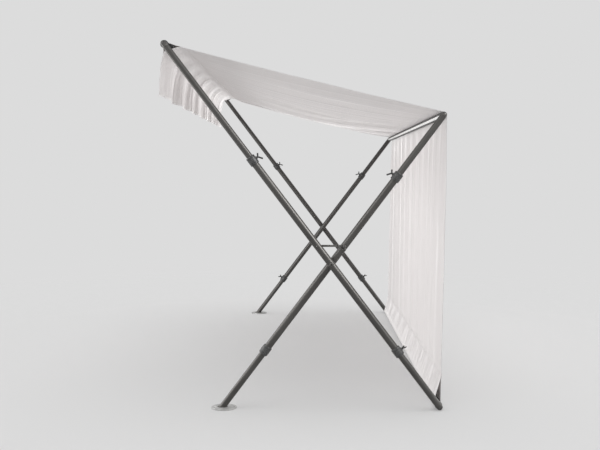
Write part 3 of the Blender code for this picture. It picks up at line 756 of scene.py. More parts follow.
def make_clamps(finishes):
    collar, wing = make_collar(), make_wing_screw()
    swivel = math.radians(60)
    for side, sign in SIDES.items():
        inward = -sign * math.pi / 2
        rows = (("high", "top", HIGH_TOP_COLLAR, 0, 0), ("high", "base", -LOWER_COLLAR, 0, swivel),
                ("foot", "top", LOWER_COLLAR, math.pi, 0),
                ("foot", "base", -LOWER_COLLAR, inward if sign < 0 else math.pi, swivel))
        for kind, end, reach, facing, turn in rows:
            place = leg_place(kind, side, reach) @ Matrix.Rotation(facing, 4, "Z")
            flip = Matrix.Rotation(math.pi, 4, "X") if reach < 0 else Matrix.Identity(4)
            piece = another(collar, f"clamp_{kind}_{end}_{side}")
            settle(piece, place @ flip, finishes["clamp"], f"{kind}_frame", [f"collar_{kind}_{end}_{side}"])
            screw = place @ Matrix.Translation((BOSS_REACH + SEAT_GAP, 0, 0)) @ Matrix.Rotation(math.pi / 2, 4, "Y")
            piece = another(wing, f"wing_{kind}_{end}_{side}")
            settle(piece, screw @ Matrix.Rotation(turn, 4, "Z"), finishes["clamp"],
                   f"screw_{kind}_{end}_{side}", [f"wing_screw_{kind}_{end}_{side}"])
    discard(collar, wing)


# Feet

def make_feet(finishes):
    """Round plates with a turned rim and two countersunk holes, and the weld that holds each tube."""
    top, rim = PLATE_THICKNESS, 0.0012
    plate = turned("plate_pattern", [(PLATE_RADIUS - rim, 0.0), (PLATE_RADIUS, rim), (PLATE_RADIUS, top - rim),
                                     (PLATE_RADIUS - rim * 0.3, top - rim * 0.3), (PLATE_RADIUS - rim, top),
                                     (PLATE_RADIUS - 0.004, top)], sides=112)
    for offset in (-PLATE_HOLE_OFFSET, PLATE_HOLE_OFFSET):
        hole = turned("hole", [(PLATE_HOLE_RADIUS, -0.002), (PLATE_HOLE_RADIUS, top - 0.0016),
                               (PLATE_HOLE_RADIUS + 0.0022, top + 0.0006)], sides=36)
        hole.data.transform(Matrix.Translation((offset, 0, 0)))
        combine(plate, hole, "DIFFERENCE")
    finish_mesh(plate)
    weld = make_weld()
    axis_x = PIVOT.x - (PIVOT.z - PLATE_THICKNESS) / SIN * COS
    for side, sign in SIDES.items():
        y = sign * (HALF_SPACING - LEG_OFFSET)
        settle(another(plate, f"foot_disc_{side}"), Matrix.Translation((axis_x + PLATE_SHIFT, y, 0)),
               finishes["plate"], f"{side}_foot", [f"foot_plate_{side}"])
        settle(another(weld, f"foot_weld_{side}"), Matrix.Translation((axis_x, y, PLATE_THICKNESS)),
               finishes["weld"], f"{side}_foot")
    discard(plate, weld)


def make_weld():
    """A bead round the tube's oval foot, with the ripples that a welder leaves."""
    bpy.ops.object.select_all(action="DESELECT")
    bpy.ops.mesh.primitive_torus_add(major_segments=180, minor_segments=10, major_radius=END_RADIUS + 0.0012,
                                     minor_radius=0.0042)
    weld = new_piece("weld_pattern")
    for vertex in weld.data.vertices:
        turn = math.atan2(vertex.co.y, vertex.co.x)
        ripple = 0.00045 * math.sin(turn * 46) + 0.0003 * math.sin(turn * 17 + 1.0)
        away = Vector((vertex.co.x, vertex.co.y, 0)).normalized()
        vertex.co += (vertex.co - away * (END_RADIUS + 0.0012)).normalized() * ripple
        vertex.co.x *= 1 / SIN
    return finish_mesh(weld, angle=70)


# Bolts and stay

def make_hex(name, across, low, high):
    """A hexagon head or nut whose corners are turned down at both faces."""
    nut = rod(name, across / math.sqrt(3), low, high, "Z", sides=6)
    crown = turned("crown", [(across * 0.49, low), (across * 0.585, low + 0.0011), (across * 0.585, high - 0.0011),
                             (across * 0.49, high)], sides=48)
    combine(nut, crown, "INTERSECT")
    return nut


def make_bolts(finishes):
    """Pivot bolts with washers, a domed head and a nut, and the smaller bolts that carry the stays."""
    face = LEG_OFFSET + MAIN_RADIUS
    between = LEG_OFFSET - MAIN_RADIUS
    pivot = turned("pivot_pattern", [
        (0.0060, -face - 0.012), (0.0060, -between), (0.0130, -between), (0.0130, between),
        (0.0060, between), (0.0060, face), (0.0160, face), (0.0160, face + 0.0015), (0.0140, face + 0.0016),
        (0.0140, face + 0.0030), (0.0132, face + 0.0048), (0.0110, face + 0.0064), (0.0080, face + 0.0073),
        (0.0045, face + 0.0076)])
    socket = rod("socket", 0.0040, face + 0.003, face + 0.02, "Z", sides=6)
    combine(pivot, socket, "DIFFERENCE")
    combine(pivot, make_hex("nut", 0.019, -face - 0.010, -face), "UNION")
    finish_mesh(pivot)
    pin = STAY_THICKNESS / 2 + SEAT_GAP
    stay = turned("stay_pattern", [
        (0.0066, -pin - 0.0030), (0.0070, -pin - 0.0024), (0.0070, -pin), (0.0040, -pin), (0.0040, pin),
        (0.0070, pin), (0.0070, between), (0.0040, between), (0.0040, face), (0.0092, face),
        (0.0092, face + 0.0010), (0.0080, face + 0.0011), (0.0078, face + 0.0028), (0.0062, face + 0.0046),
        (0.0035, face + 0.0052)], sides=40)
    socket = rod("socket", 0.0026, face + 0.0025, face + 0.02, "Z", sides=6)
    finish_mesh(combine(stay, socket, "DIFFERENCE"))
    for side, sign in SIDES.items():
        outward = Matrix.Rotation(-sign * math.pi / 2, 4, "X")
        middle = Vector((PIVOT.x, sign * HALF_SPACING, PIVOT.z))
        settle(another(pivot, f"pivot_bolt_{side}_fitting"), Matrix.Translation(middle) @ outward,
               finishes["bolt"], "high_frame", [f"pivot_bolt_{side}"])
        pin_place = middle + Vector((-STAY_PIN_REACH * COS, 0, STAY_PIN_REACH * SIN))
        settle(another(stay, f"stay_bolt_{side}_fitting"), Matrix.Translation(pin_place) @ outward,
               finishes["bolt"], "high_frame", [f"stay_bolt_{side}"])
    discard(pivot, stay)


def make_stay(finishes):
    """The stay: a flat bar from an eye on the high leg to a hook that drops over the foot leg's stud."""
    pin = Vector((-STAY_PIN_REACH * COS, STAY_PIN_REACH * SIN))
    stud_reach = (pin.y - STAY_HALF_HEIGHT - STUD_RADIUS - STUD_CLEARANCE) / SIN
    inner = stud_reach * COS - pin.x + STUD_RADIUS + STUD_CLEARANCE
    outer, half = inner + STAY_HOOK_WIDTH, STAY_HALF_HEIGHT
    thick = STAY_THICKNESS / 2
    bar = block("stay_bar_forged", (0.0, -thick, -half), (outer, thick, half))
    pick(bar, "FACE", lambda centre, normal: True)
    bpy.ops.mesh.bisect(plane_co=(inner, 0, 0), plane_no=(1, 0, 0))
    pick(bar, "FACE", lambda centre, normal: normal.z < -0.9 and centre.x > inner)
    bpy.ops.mesh.extrude_region_move(TRANSFORM_OT_translate={"value": (0, 0, half - STAY_HOOK_DROP)})
    bpy.ops.transform.resize(value=(0.82, 1, 1), center_override=((inner + outer) / 2, 0, 0))
    pick(bar, "EDGE", lambda centre, along: centre.x > outer - 1e-4 and centre.z > half - 1e-4)
    bpy.ops.mesh.bevel(offset=half, segments=6, affect="EDGES")
    leave_edit()
    combine(bar, rod("eye", 0.010, -thick, thick, "Y", sides=48), "UNION")
    combine(bar, rod("bore", 0.0043, -0.01, 0.01, "Y", sides=32), "DIFFERENCE")
    soften_edges(bar, 0.0006, segments=2, angle=50)
    finish_mesh(bar)
    middle = SIDES["right"] * HALF_SPACING
    settle(bar, Matrix.Translation((PIVOT.x + pin.x, middle, PIVOT.z + pin.y)), finishes["stay"], "stay",
           ["stay_bar"])
    make_catch(finishes, stud_reach)


def make_catch(finishes, stud_reach):
    """A saddle on the foot leg with a headed stud for the hook."""
    face = MAIN_RADIUS + 0.002
    pad = block("stay_catch_saddle", (-0.010, -face, -0.020), (0.010, -0.020, 0.020))
    combine(pad, rod("leg", MAIN_RADIUS + SEAT_GAP, -0.04, 0.04, "Z", sides=TUBE_SIDES), "DIFFERENCE")
    tip = LEG_OFFSET + STAY_THICKNESS / 2 + 0.002
    stud = turned("stud", [(0.0056, face - 0.001), (0.0056, face + 0.0004), (STUD_RADIUS, face + 0.0012),
                           (STUD_RADIUS, tip - 0.0006), (STUD_RADIUS - 0.0006, tip)], sides=32)
    stud.data.transform(Matrix.Rotation(math.pi / 2, 4, "X"))
    combine(pad, stud, "UNION")
    soften_edges(pad, 0.0006, segments=2, angle=50)
    settle(finish_mesh(pad), leg_place("foot", "right", stud_reach), finishes["stay"], "foot_frame",
           ["stay_catch"])


# Bars and clips

def make_bars(finishes):
    high_face = HALF_SPACING + LEG_OFFSET - END_RADIUS - SEAT_GAP
    foot_face = HALF_SPACING - LEG_OFFSET - END_RADIUS - SEAT_GAP
    wall, lip = END_RADIUS - TUBE_WALL, 0.0006
    rows = (("front", FRONT_BAR, high_face, "tube", "high_frame", "dark_tube"),
            ("ground", GROUND_BAR, high_face, "tube", "high_frame", "dark_tube"),
            ("rear", REAR_BAR, foot_face, "rear bar", "foot_frame", "bright_tube"))
    for name, centre, half, finish, body, slot in rows:
        profile = [(wall, -half), (END_RADIUS - lip, -half), (END_RADIUS, -half + lip),
                   (END_RADIUS, half - lip), (END_RADIUS - lip, half), (wall, half)]
        bar = turned(f"{name}_bar_tube", profile, hollow=True)
        if name == "rear":
            combine(bar, strip_block("groove", half, STRIP_HALF_WIDTH, STRIP_DEPTH), "DIFFERENCE")
            finish_mesh(bar)
        wrap_map(bar, END_RADIUS)
        settle(bar, bar_place(centre), finishes[finish], body, [f"{name}_bar"])
    # The rear bar's pale strip is a painted highlight.
    make_painted_highlight_strip(finishes, foot_face)
    make_clips(finishes, high_face)


def strip_block(name, half, half_width, depth):
    """A block along a bar's side, turned to face in and down, in the bar's own frame."""
    piece = block(name, (END_RADIUS - depth, -half_width, -half - 0.001),
                  (END_RADIUS + 0.002, half_width, half + 0.001))
    piece.data.transform(Matrix.Rotation(STRIP_TURN, 4, "Z"))
    return piece


def make_painted_highlight_strip(finishes, foot_face):
    """A pale strip let into the rear bar's inner side, with a slightly domed face. It is a painted highlight that
    stands in for the bar's lit stripe.
    """
    strip = strip_block("rear_bar_painted_highlight", foot_face - 0.004, STRIP_HALF_WIDTH - 0.0002, STRIP_DEPTH - 0.0002)
    combine(strip, rod("dome", END_RADIUS + 0.0002, -3.0, 3.0, "Z", sides=96), "INTERSECT")
    soften_edges(strip, 0.0004, segments=2, angle=50)
    settle(finish_mesh(strip), bar_place(REAR_BAR), finishes["strip"], "foot_frame")


def make_clips(finishes, high_face):
    """Black clips at the ends of the front and ground bars."""
    near_leg = high_face - 0.001
    for name, centre, grip in (("front", FRONT_BAR, 0.0045), ("ground", GROUND_BAR, 0.0026)):
        low, high = END_RADIUS + SEAT_GAP, END_RADIUS + grip
        start, end = near_leg - 0.018, near_leg
        profile = [(low, start), (high - 0.0008, start), (high, start + 0.0008), (high, end - 0.0008),
                   (high - 0.0008, end), (low, end)]
        pattern = turned("clip_pattern", profile, hollow=True)
        if name == "front":
            combine(pattern, make_tab(low, start, end), "UNION")
            finish_mesh(pattern)
        for side, sign in SIDES.items():
            along = 0.0 if sign > 0 else -(start + end)
            piece = another(pattern, f"{name}_clip_{side}")
            settle(piece, bar_place(centre) @ Matrix.Translation((0, 0, along)), finishes["clip"],
                   "high_frame", [f"{name}_bar_clip_{side}"])
        discard(pattern)


def make_tab(low, start, end):
    """The flat tab that reaches from a front clip along the canopy's edge."""
    tab = block("tab", (low + 0.001, -TAB_HALF_HEIGHT, start), (TAB_REACH, TAB_HALF_HEIGHT, end))
    soften_edges(tab, 0.0025)
    hole = rod("hole", 0.0035, start - 0.01, end + 0.01, "Z")
    hole.data.transform(Matrix.Translation((TAB_REACH - 0.011, 0, 0)))
    combine(tab, hole, "DIFFERENCE")
    tab.data.transform(Matrix.Rotation(-math.atan2(SLOPE.y, SLOPE.x), 4, "Z"))
    return tab


# Cloth

def through(points, at):
    """A smooth curve through (place, value) points, read at many places."""
    xs = np.array([point[0] for point in points], float)
    ys = np.array([point[1] for point in points], float)
    slopes = np.gradient(ys, xs)
    at = np.clip(at, xs[0], xs[-1])
    index = np.clip(np.searchsorted(xs, at, side="right") - 1, 0, len(xs) - 2)
    step = xs[index + 1] - xs[index]
    t = (at - xs[index]) / step
    return ((2 * t**3 - 3 * t**2 + 1) * ys[index] + (t**3 - 2 * t**2 + t) * step * slopes[index]
            + (3 * t**2 - 2 * t**3) * ys[index + 1] + (t**3 - t**2) * step * slopes[index + 1])


def along_path(path, share):
    """Points and normals at shares of the length of a smooth path of (x, z) points."""
    path = np.array([tuple(point) for point in path], float)
    lengths = np.concatenate([[0], np.cumsum(np.linalg.norm(np.diff(path, axis=0), axis=1))])
    at = share * lengths[-1]
    x = np.interp(at, lengths, path[:, 0])
    z = np.interp(at, lengths, path[:, 1])
    ahead, behind = np.clip(at + 0.004, 0, lengths[-1]), np.clip(at - 0.004, 0, lengths[-1])
    dx = np.interp(ahead, lengths, path[:, 0]) - np.interp(behind, lengths, path[:, 0])
    dz = np.interp(ahead, lengths, path[:, 1]) - np.interp(behind, lengths, path[:, 1])
    size = np.hypot(dx, dz)
    return x, z, -dz / size, dx / size, lengths[-1]


def arc(centre, radius, start, end, steps):
    angles = np.radians(np.linspace(start, end, steps + 1))
    return [Vector((centre.x + radius * math.cos(a), centre.y + radius * math.sin(a))) for a in angles]


def curve(points, steps=12):
    """A smooth line of (x, z) points through a few given ones."""
    lengths = [0.0]
    for first, second in zip(points, points[1:]):
        lengths.append(lengths[-1] + (Vector(second) - Vector(first)).length)
    at = np.linspace(0, lengths[-1], steps * (len(points) - 1) + 1)
    xs = through([(length, point[0]) for length, point in zip(lengths, points)], at)
    zs = through([(length, point[1]) for length, point in zip(lengths, points)], at)
    return [Vector((x, z)) for x, z in zip(xs, zs)]


def shaped_grid(name, rows, columns, place_on, cut, thickness):
    """A grid whose points go where place_on puts them, with a UV map in metres and a thickness."""
    bpy.ops.object.select_all(action="DESELECT")
    bpy.ops.mesh.primitive_grid_add(x_subdivisions=rows, y_subdivisions=columns, size=1, calc_uvs=True)
    sheet = new_piece(name)
    places = np.zeros(len(sheet.data.vertices) * 3)
    sheet.data.vertices.foreach_get("co", places)
    grid = places.reshape(-1, 3)[:, :2] + 0.5
    first, second = grid[:, 0], grid[:, 1]
    sheet.data.vertices.foreach_set("co", np.stack(place_on(first, second), axis=1).ravel())
    layer = sheet.data.uv_layers[0]
    layer.name = "cut"
    loops = np.zeros(len(sheet.data.loops), dtype=np.int64)
    sheet.data.loops.foreach_get("vertex_index", loops)
    flat = np.stack(cut(first, second), axis=1)[loops]
    layer.data.foreach_set("uv", flat.ravel())
    sheet.data.update()
    modify(sheet, "SOLIDIFY", thickness=thickness, offset=0)
    bpy.ops.object.shade_smooth_by_angle(angle=math.radians(60))
    return sheet


def finer_at_ends(share):
    """Shares of a length, closer together at both ends."""
    return share - 0.75 * np.sin(math.tau * share) / math.tau


def cloth_sheet(name, rows, columns, shape, length, spread=lambda share: share):
    """A run of cloth: a grid over the shape's whole width and length."""
    return shaped_grid(name, rows, columns, lambda u, t: shape(u, spread(t)),
                       lambda u, t: (spread(t) * 2 * CLOTH_HALF, u * length), CLOTH_THICKNESS)


def side_hem(name, rows, shape, length, side):
    """The doubled edge at one end of a run of cloth, wrapped round it."""
    def place_on(u, across):
        v = across * HEM_WIDTH / (2 * CLOTH_HALF)
        return shape(u, v if side == "right" else 1 - v)
    return shaped_grid(name, rows, 4, place_on, lambda u, across: (across * HEM_WIDTH, u * length), HEM_THICKNESS)


def lower_hem(name, columns, shape, length):
    """The doubled edge along the foot of a run of cloth."""
    return shaped_grid(name, 4, columns, lambda across, v: shape(1 - across * HEM_WIDTH / length, v),
                       lambda across, v: (across * HEM_WIDTH, v * 2 * CLOTH_HALF), HEM_THICKNESS)


def gathers(y, cell, seed):
    """Uneven waves along the tent, from -1 to 1, that stand for gathered cloth."""
    wave = np.zeros_like(y)
    total = 0.0
    rng = np.random.default_rng(seed)
    for share, size in ((1.0, 1.0), (0.8, 0.62), (0.55, 0.41), (0.4, 0.27)):
        phase, drift, reach = rng.uniform(0, math.tau), rng.uniform(0, math.tau), rng.uniform(0.3, 0.7)
        warped = y / (cell * size) + reach * np.sin(y * 1.7 / cell * 0.21 + drift)
        wave += share * np.sin(math.tau * warped + phase)
        total += share
    return wave / total * 1.6


SAG = [(0.0, 0.008), (0.03, 0.016), (0.10, 0.034), (0.22, 0.050), (0.40, 0.064), (0.55, 0.074), (0.70, 0.078),
       (0.84, 0.070), (0.93, 0.052), (0.98, 0.032), (1.0, 0.024)]
# Each slope of the canopy's folds: where it lies near the front bar, in the middle and near the rear
# bar, as shares of the tent's length, how steep it is there, and how wide it is as a share of the length
FOLDS = [
    ((0.100, 0.112, 0.110), (-0.010, -0.030, -0.010), 0.018), ((0.150, 0.165, 0.130), (0.020, 0.060, 0.035), 0.020),
    ((0.440, 0.485, 0.500), (0.020, 0.065, 0.010), 0.024), ((0.540, 0.545, 0.500), (-0.010, -0.045, 0.000), 0.022),
    ((0.610, 0.615, 0.450), (0.040, 0.050, 0.025), 0.022), ((0.720, 0.690, 0.550), (-0.025, -0.045, -0.040), 0.024),
    ((0.790, 0.830, 0.690), (0.025, 0.075, 0.050), 0.032), ((1.050, 0.980, 0.780), (0.000, -0.015, -0.055), 0.028),
    ((0.950, 0.975, 0.940), (0.010, 0.020, 0.050), 0.026),
]
FOLD_STATIONS = (0.15, 0.50, 0.90)


def off_bar(x, z, bar):
    """Moves the points that lie within a bar out to its surface, with room for the cloth's thickness."""
    dx, dz = x - bar.x, z - bar.y
    away = np.maximum(np.hypot(dx, dz), 1e-6)
    share = np.maximum(CLOTH_RADIUS / away, 1.0)
    return bar.x + dx * share, bar.y + dz * share


def fold_steps(u, v):
    """The canopy's folds as steps up and down along the tent, with both of its ends left in place."""
    height = np.zeros_like(u)
    for places, slopes, width in FOLDS:
        line = through(list(zip(FOLD_STATIONS, places)), u)
        steep = np.interp(u, FOLD_STATIONS, slopes)
        height += steep * width * 2 * CLOTH_HALF * np.tanh((v - line) / width)
    return height


def fold_height(u, v):
    """How far the canopy's folds stand above or below its even sag."""
    ends = fold_steps(u, np.zeros_like(v)) * (1 - v) + fold_steps(u, np.ones_like(v)) * v
    height = fold_steps(u, v) - ends
    far = np.clip((v - 0.2) / 0.8, 0, 1)
    y = v * 2 * CLOTH_HALF
    height += gathers(y, 0.17, 3) * 0.0035 * (0.3 + 0.7 * far) * np.exp(-u / 0.14)
    height += gathers(y + 0.3 * u, 0.30, 21) * 0.0012
    height += np.abs(gathers(y, 0.12, 8)) * 0.0018 * np.exp(-(1 - u) / 0.05)
    return height


def canopy_shape(u, v):
    """The canopy from the front sleeve's stitch line to the top of the rear bar."""
    rear = REAR_BAR + ABOVE * CLOTH_RADIUS
    x = STITCH_LINE.x + (rear.x - STITCH_LINE.x) * u
    z = STITCH_LINE.y + (rear.y - STITCH_LINE.y) * u
    hang = (1 - (2 * u - 1) ** 2) ** 0.9
    z = z - through(SAG, v) * hang + fold_height(u, v) * np.clip(hang * 6 + 0.35 * (1 - u), 0, 1)
    droop = np.clip(1 - (1 - v) * 2 * CLOTH_HALF / 0.020, 0, 1) ** 2
    z = z - HEM_DROOP * droop * np.clip(hang * 4, 0, 1)
    x, z = off_bar(x, z, REAR_BAR)
    y = -CLOTH_HALF + 2 * CLOTH_HALF * v - 0.004 * droop
    return x, y, z


# The valance from the stitch line, as (x, z) from the front bar: along the tent, and beside the legs,
# where it is drawn close under the bar
VALANCE = [(0.085, -0.0130), (0.052, -0.0230), (0.024, -0.0398), (0.003, -0.0600), (-0.0120, -0.0870),
           (-0.0280, -0.1400), (-0.0375, -0.2100), (-0.0415, -0.2900), (-0.0420, -0.3470)]
VALANCE_AT_LEG = [(0.085, -0.0130), (0.052, -0.0225), (0.026, -0.0315), (0.006, -0.0345), (-0.0085, -0.0440),
                  (-0.0170, -0.0700), (-0.0240, -0.1000), (-0.0320, -0.1450), (-0.0385, -0.2200),
                  (-0.0415, -0.2900), (-0.0420, -0.3470)]
SLEEVE_END = [(-0.0190, -0.0320), (-0.0150, -0.0850)]
SLEEVE_END_AT_LEG = [(-0.0160, -0.0350), (-0.0205, -0.0700)]
# Where the valance's and the curtain's pleats lean outward most, in metres from the right edge
VALANCE_PLEATS = [-0.40, 0.62, 1.27, 1.86, 2.40, 3.05, 3.45, 3.75, 3.93, 4.10, 4.27, 4.44]
CURTAIN_PLEATS = [-0.10, 0.31, 0.68, 0.96, 1.29, 1.81, 2.31, 2.79, 3.23, 3.62, 4.01, 4.45]


def pleats(y, lines, lean):
    """Uneven pleats along the tent. Each leans outward most at its line, and back between two lines."""
    from_edge = y + CLOTH_HALF
    turns = through(list(zip(lines, range(len(lines)))), from_edge)
    spacing = np.interp(from_edge, lines[1:], np.diff(lines))
    return lean * spacing / math.tau * np.sin(math.tau * turns)


def beside_legs(v, reach):
    """1 at the cloth's two ends, falling to 0 along the tent."""
    from_end = np.minimum(v, 1 - v) * 2 * CLOTH_HALF
    return np.exp(-((from_end / reach) ** 2))


def mixed_paths(middle, end, u, share):
    """Places and normals between a path that holds along the tent and one that holds at its ends."""
    first, second = along_path(middle, u), along_path(end, u)
    return [a + (b - a) * share for a, b in zip(first, second)]


def valance_shape(u, v):
    """The valance. Its pleats open towards the lower edge and grow finer towards the left end."""
    paths = [curve([tuple(STITCH_LINE)] + [(FRONT_BAR.x + x, FRONT_BAR.y + z) for x, z in places])
             for places in (VALANCE, VALANCE_AT_LEG)]
    x, z, nx, nz, length = mixed_paths(*paths, u, beside_legs(v, 0.16))
    y = -CLOTH_HALF + 2 * CLOTH_HALF * v
    down = np.clip((u - 0.12) / 0.88, 0, 1)
    calm = np.clip(v * 2 * CLOTH_HALF / 0.9, 0, 1)
    calm = calm * calm * (3 - 2 * calm)
    broad = pleats(y + 0.05 * u, VALANCE_PLEATS, 0.16) * (0.3 + 0.7 * calm)
    fine = gathers(y + 0.06 * u, 0.17, 3) * 0.0030 * (0.1 + 0.9 * calm)
    start = fold_height(np.zeros_like(v), v) * 0.35
    offset = start * (1 - down) ** 3 + (broad + fine) * np.sqrt(down + 0.02)
    return x - nx * offset, y, z - nz * offset


def sleeve_shape(u, v):
    """The strip that goes from the stitch line over the front bar and down outside the valance."""
    toward = STITCH_LINE - FRONT_BAR
    tangent = math.degrees(math.atan2(toward.y, toward.x) + math.acos(CLOTH_RADIUS / toward.length))
    wrap = arc(FRONT_BAR, CLOTH_RADIUS, tangent, 198, 28)
    upper = [STITCH_LINE + ABOVE * 0.0014, STITCH_LINE * 0.4 + wrap[0] * 0.6] + wrap
    paths = [upper + [FRONT_BAR + Vector(place) for place in places] for places in (SLEEVE_END, SLEEVE_END_AT_LEG)]
    x, z, nx, nz, length = mixed_paths(*paths, u, beside_legs(v, 0.16))
    y = -CLOTH_HALF + 2 * CLOTH_HALF * v
    puff = np.sin(np.clip(u / 0.5, 0, 1) * math.pi)
    lift = 0.0025 * puff * (1 + gathers(y, 0.17, 3)) * (0.4 + 0.6 * v)
    return x + nx * lift, y, z + nz * lift


def curtain_path():
    """Down the outer side from the rear bar, round under the ground bar and up to the pocket's seam."""
    fall = math.degrees(math.atan2(REAR_BAR.x - GROUND_BAR.x, REAR_BAR.y - GROUND_BAR.y))
    over = arc(REAR_BAR, CLOTH_RADIUS, REAR_TANGENT, -fall, 18)
    under = arc(GROUND_BAR, CLOTH_RADIUS, -fall, -178, 30)
    outer = under[0]
    rise = (over[-1] - outer).normalized()
    inside = Vector((-rise.y, rise.x))
    seam = outer + rise * 0.185 + inside * 0.0016
    bulge = [outer + rise * 0.07 + inside * 0.030, outer + rise * 0.125 + inside * 0.014]
    drop = [over[-1] + (outer - over[-1]) * step / 40 for step in range(1, 40)]
    pocket = curve([tuple(under[-1]), *[tuple(p) for p in bulge], tuple(seam)])
    return over + drop + under + pocket[1:], len(over) + len(drop)


def curtain_shape(u, v):
    """The curtain. Fine pleats fall from the rear bar, and the pocket's seam draws them together."""
    path, _ = curtain_path()
    x, z, nx, nz, length = along_path(path, u)
    y = -CLOTH_HALF + 2 * CLOTH_HALF * v
    drop = REAR_BAR.y - GROUND_BAR.y
    lowest = drop + 0.069
    inner_layer = u * length > lowest
    fallen = np.where(inner_layer, 2 * lowest - u * length, u * length)
    opening = np.clip((fallen - 0.02) / 0.35, 0, 1) ** 0.7
    closing = np.clip((drop + 0.02 - fallen) / 0.22, 0, 1)
    closing = closing * closing * (3 - 2 * closing)
    lean = 0.06 * np.sin(y * 1.1 + 0.6) * fallen
    broad = pleats(y + lean, CURTAIN_PLEATS, 0.11)
    fine = gathers(y + lean * 1.4, 0.15, 12) * 0.0022
    edge = 0.006 * np.exp(-(((y + CLOTH_HALF - 0.23) / 0.045) ** 2))
    offset = (broad + fine - edge) * opening * (0.12 + 0.88 * closing)
    at_seam = np.exp(-(((drop - 0.153 - fallen) / 0.016) ** 2))
    offset = offset + at_seam * (0.005 + 0.003 * gathers(y, 0.09, 17))
    offset = offset * np.clip((drop + 0.02 - fallen) / 0.05, 0, 1)
    tuck = np.sin(np.clip((drop + 0.02 - fallen) / 0.15, 0, 1) * math.pi) * gathers(y, 0.19, 14) * 0.0035
    offset = np.where(inner_layer, -offset - tuck, offset)
    x, z = x + nx * offset, z + nz * offset
    for bar in (REAR_BAR, GROUND_BAR):
        x, z = off_bar(x, z, bar)
    return x, y, z


def make_cloth(finishes):
    """The cloth's runs, each given the length it was cut to for its UV map, and the hems along its free edges."""
    span = (REAR_BAR - FRONT_BAR).length - 0.12
    canopy = cloth_sheet("canopy_cloth", 76, 400, canopy_shape, span, finer_at_ends)
    valance = cloth_sheet("valance_cloth", 40, 330, valance_shape, 0.50)
    sleeve = cloth_sheet("front_sleeve_cloth", 44, 220, sleeve_shape, 0.26)
    curtain = cloth_sheet("curtain_cloth", 130, 330, curtain_shape, 2.26)
    canopy_hems = [side_hem(f"canopy_hem_{side}_cloth", 76, canopy_shape, span, side) for side in SIDES]
    curtain_hems = [side_hem(f"curtain_hem_{side}_cloth", 130, curtain_shape, 2.26, side) for side in SIDES]
    valance_hems = [side_hem(f"valance_hem_{side}_cloth", 40, valance_shape, 0.50, side) for side in SIDES]
    valance_hems.append(lower_hem("valance_hem_lower_cloth", 330, valance_shape, 0.50))
    hems = canopy_hems + curtain_hems + valance_hems
    for piece in (canopy, valance, sleeve, curtain, *hems):
        piece.data.materials.clear()
        piece.data.materials.append(finishes["hem" if piece in hems else "cloth"])
    for piece in (valance, sleeve, *valance_hems):
        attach(piece, "high_frame")
    for piece in (canopy, *canopy_hems):
        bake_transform(piece)
    for piece in (curtain, *curtain_hems):
        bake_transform(piece)
    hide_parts("canopy")
    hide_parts("front_valance")
    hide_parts("rear_curtain")


# Studio

def make_floor():
    """A pale floor that fades out towards the pale room, so that no horizon shows."""
    bpy.ops.object.select_all(action="DESELECT")
    bpy.ops.mesh.primitive_circle_add(vertices=96, radius=FLOOR_FADE[1] + 0.5, fill_type="NGON")
    floor = new_piece("studio_floor")
    floor.data.transform(Matrix.Translation((0, 0, -0.0005)))
    paint, tree, shader, where = new_finish("studio floor")
    away = add_node(tree, "ShaderNodeVectorMath", operation="LENGTH")
    tree.links.new(where.outputs["Object"], away.inputs[0])
    shown = spread_node(tree, away.outputs["Value"], *FLOOR_FADE, 1.0, 0.0)
    tree.links.new(shown, shader.inputs["Alpha"])
    shader.inputs["Base Color"].default_value = (FLOOR_TONE, FLOOR_TONE, FLOOR_TONE, 1)
    shader.inputs["Roughness"].default_value = 0.95
    shader.inputs["Specular IOR Level"].default_value = 0.0
    shader.inputs["Emission Color"].default_value = (1, 1, 1, 1)
    shader.inputs["Emission Strength"].default_value = FLOOR_GLOW
    floor.data.materials.append(paint)


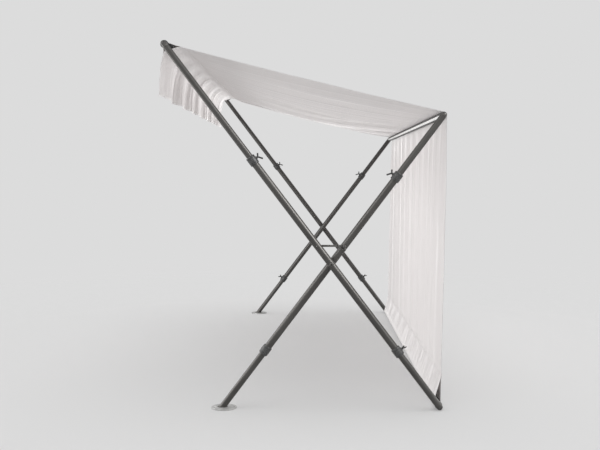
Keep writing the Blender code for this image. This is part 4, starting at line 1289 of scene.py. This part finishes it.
def add_light(name, place, toward, size, power, lit, shading):
    """A soft light at a place, facing a point. It lights one collection, and may be shaded by only one."""
    lamp = bpy.data.lights.new(name, "AREA")
    lamp.shape = "RECTANGLE"
    lamp.size, lamp.size_y = size
    lamp.energy = power
    lamp_object = bpy.data.objects.new(name, lamp)
    lamp_object.location = place
    lamp_object.rotation_euler = (Vector(toward) - Vector(place)).to_track_quat("-Z", "Y").to_euler()
    bpy.context.scene.collection.objects.link(lamp_object)
    lamp_object.light_linking.receiver_collection = lit
    if shading:
        lamp_object.light_linking.blocker_collection = shading


def light_sets():
    """What each light can light. The floor has one of its own, so that it stays even."""
    sets = {name: bpy.data.collections.new(name)
            for name in ("floor", "tent", "tubes", "cloth", "valance", "behind the valance")}
    for piece in bpy.context.scene.objects:
        if piece.type != "MESH":
            continue
        if piece.name == "studio_floor":
            sets["floor"].objects.link(piece)
            continue
        front = piece.name.startswith(("valance", "front_sleeve"))
        sets["tent"].objects.link(piece)
        sets["cloth" if piece.name.endswith("cloth") else "tubes"].objects.link(piece)
        sets["valance" if front else "behind the valance"].objects.link(piece)
    return sets


def make_studio():
    """The pale room with its soft lights, and the camera at the photo's place."""
    make_floor()
    world = bpy.data.worlds.new("studio")
    world.use_nodes = True
    bpy.context.scene.world = world
    room = world.node_tree.nodes["Background"]
    room.inputs["Color"].default_value = (1.0, 1.0, 1.0, 1)
    room.inputs["Strength"].default_value = ROOM_LIGHT
    sets = light_sets()
    for name, place, toward, size, power, lit, shading in LIGHTS:
        add_light(name, place, toward, size, power, sets[lit], sets.get(shading))
    overhead = bpy.data.lights.new("overhead, for the floor", "SUN")
    overhead.energy = FLOOR_LIGHT
    overhead.angle = FLOOR_LIGHT_SPREAD
    overhead_object = bpy.data.objects.new("overhead, for the floor", overhead)
    overhead_object.light_linking.receiver_collection = sets["floor"]
    bpy.context.scene.collection.objects.link(overhead_object)

    camera = bpy.data.cameras.new("photo camera")
    camera.sensor_width = 36.0
    camera.lens = 56.6
    camera.shift_x = -0.0177
    camera.shift_y = -0.0840
    camera_object = bpy.data.objects.new("photo camera", camera)
    camera_object.location = (0.0527, -8.69, 1.60)
    camera_object.rotation_euler = (math.pi / 2, 0, 0)
    bpy.context.scene.collection.objects.link(camera_object)
    bpy.context.scene.camera = camera_object
    bpy.context.scene.view_settings.view_transform = "Standard"


finishes = make_finishes()
make_legs(finishes)
make_clamps(finishes)
make_feet(finishes)
make_bolts(finishes)
make_stay(finishes)
make_bars(finishes)
make_cloth(finishes)
make_studio()
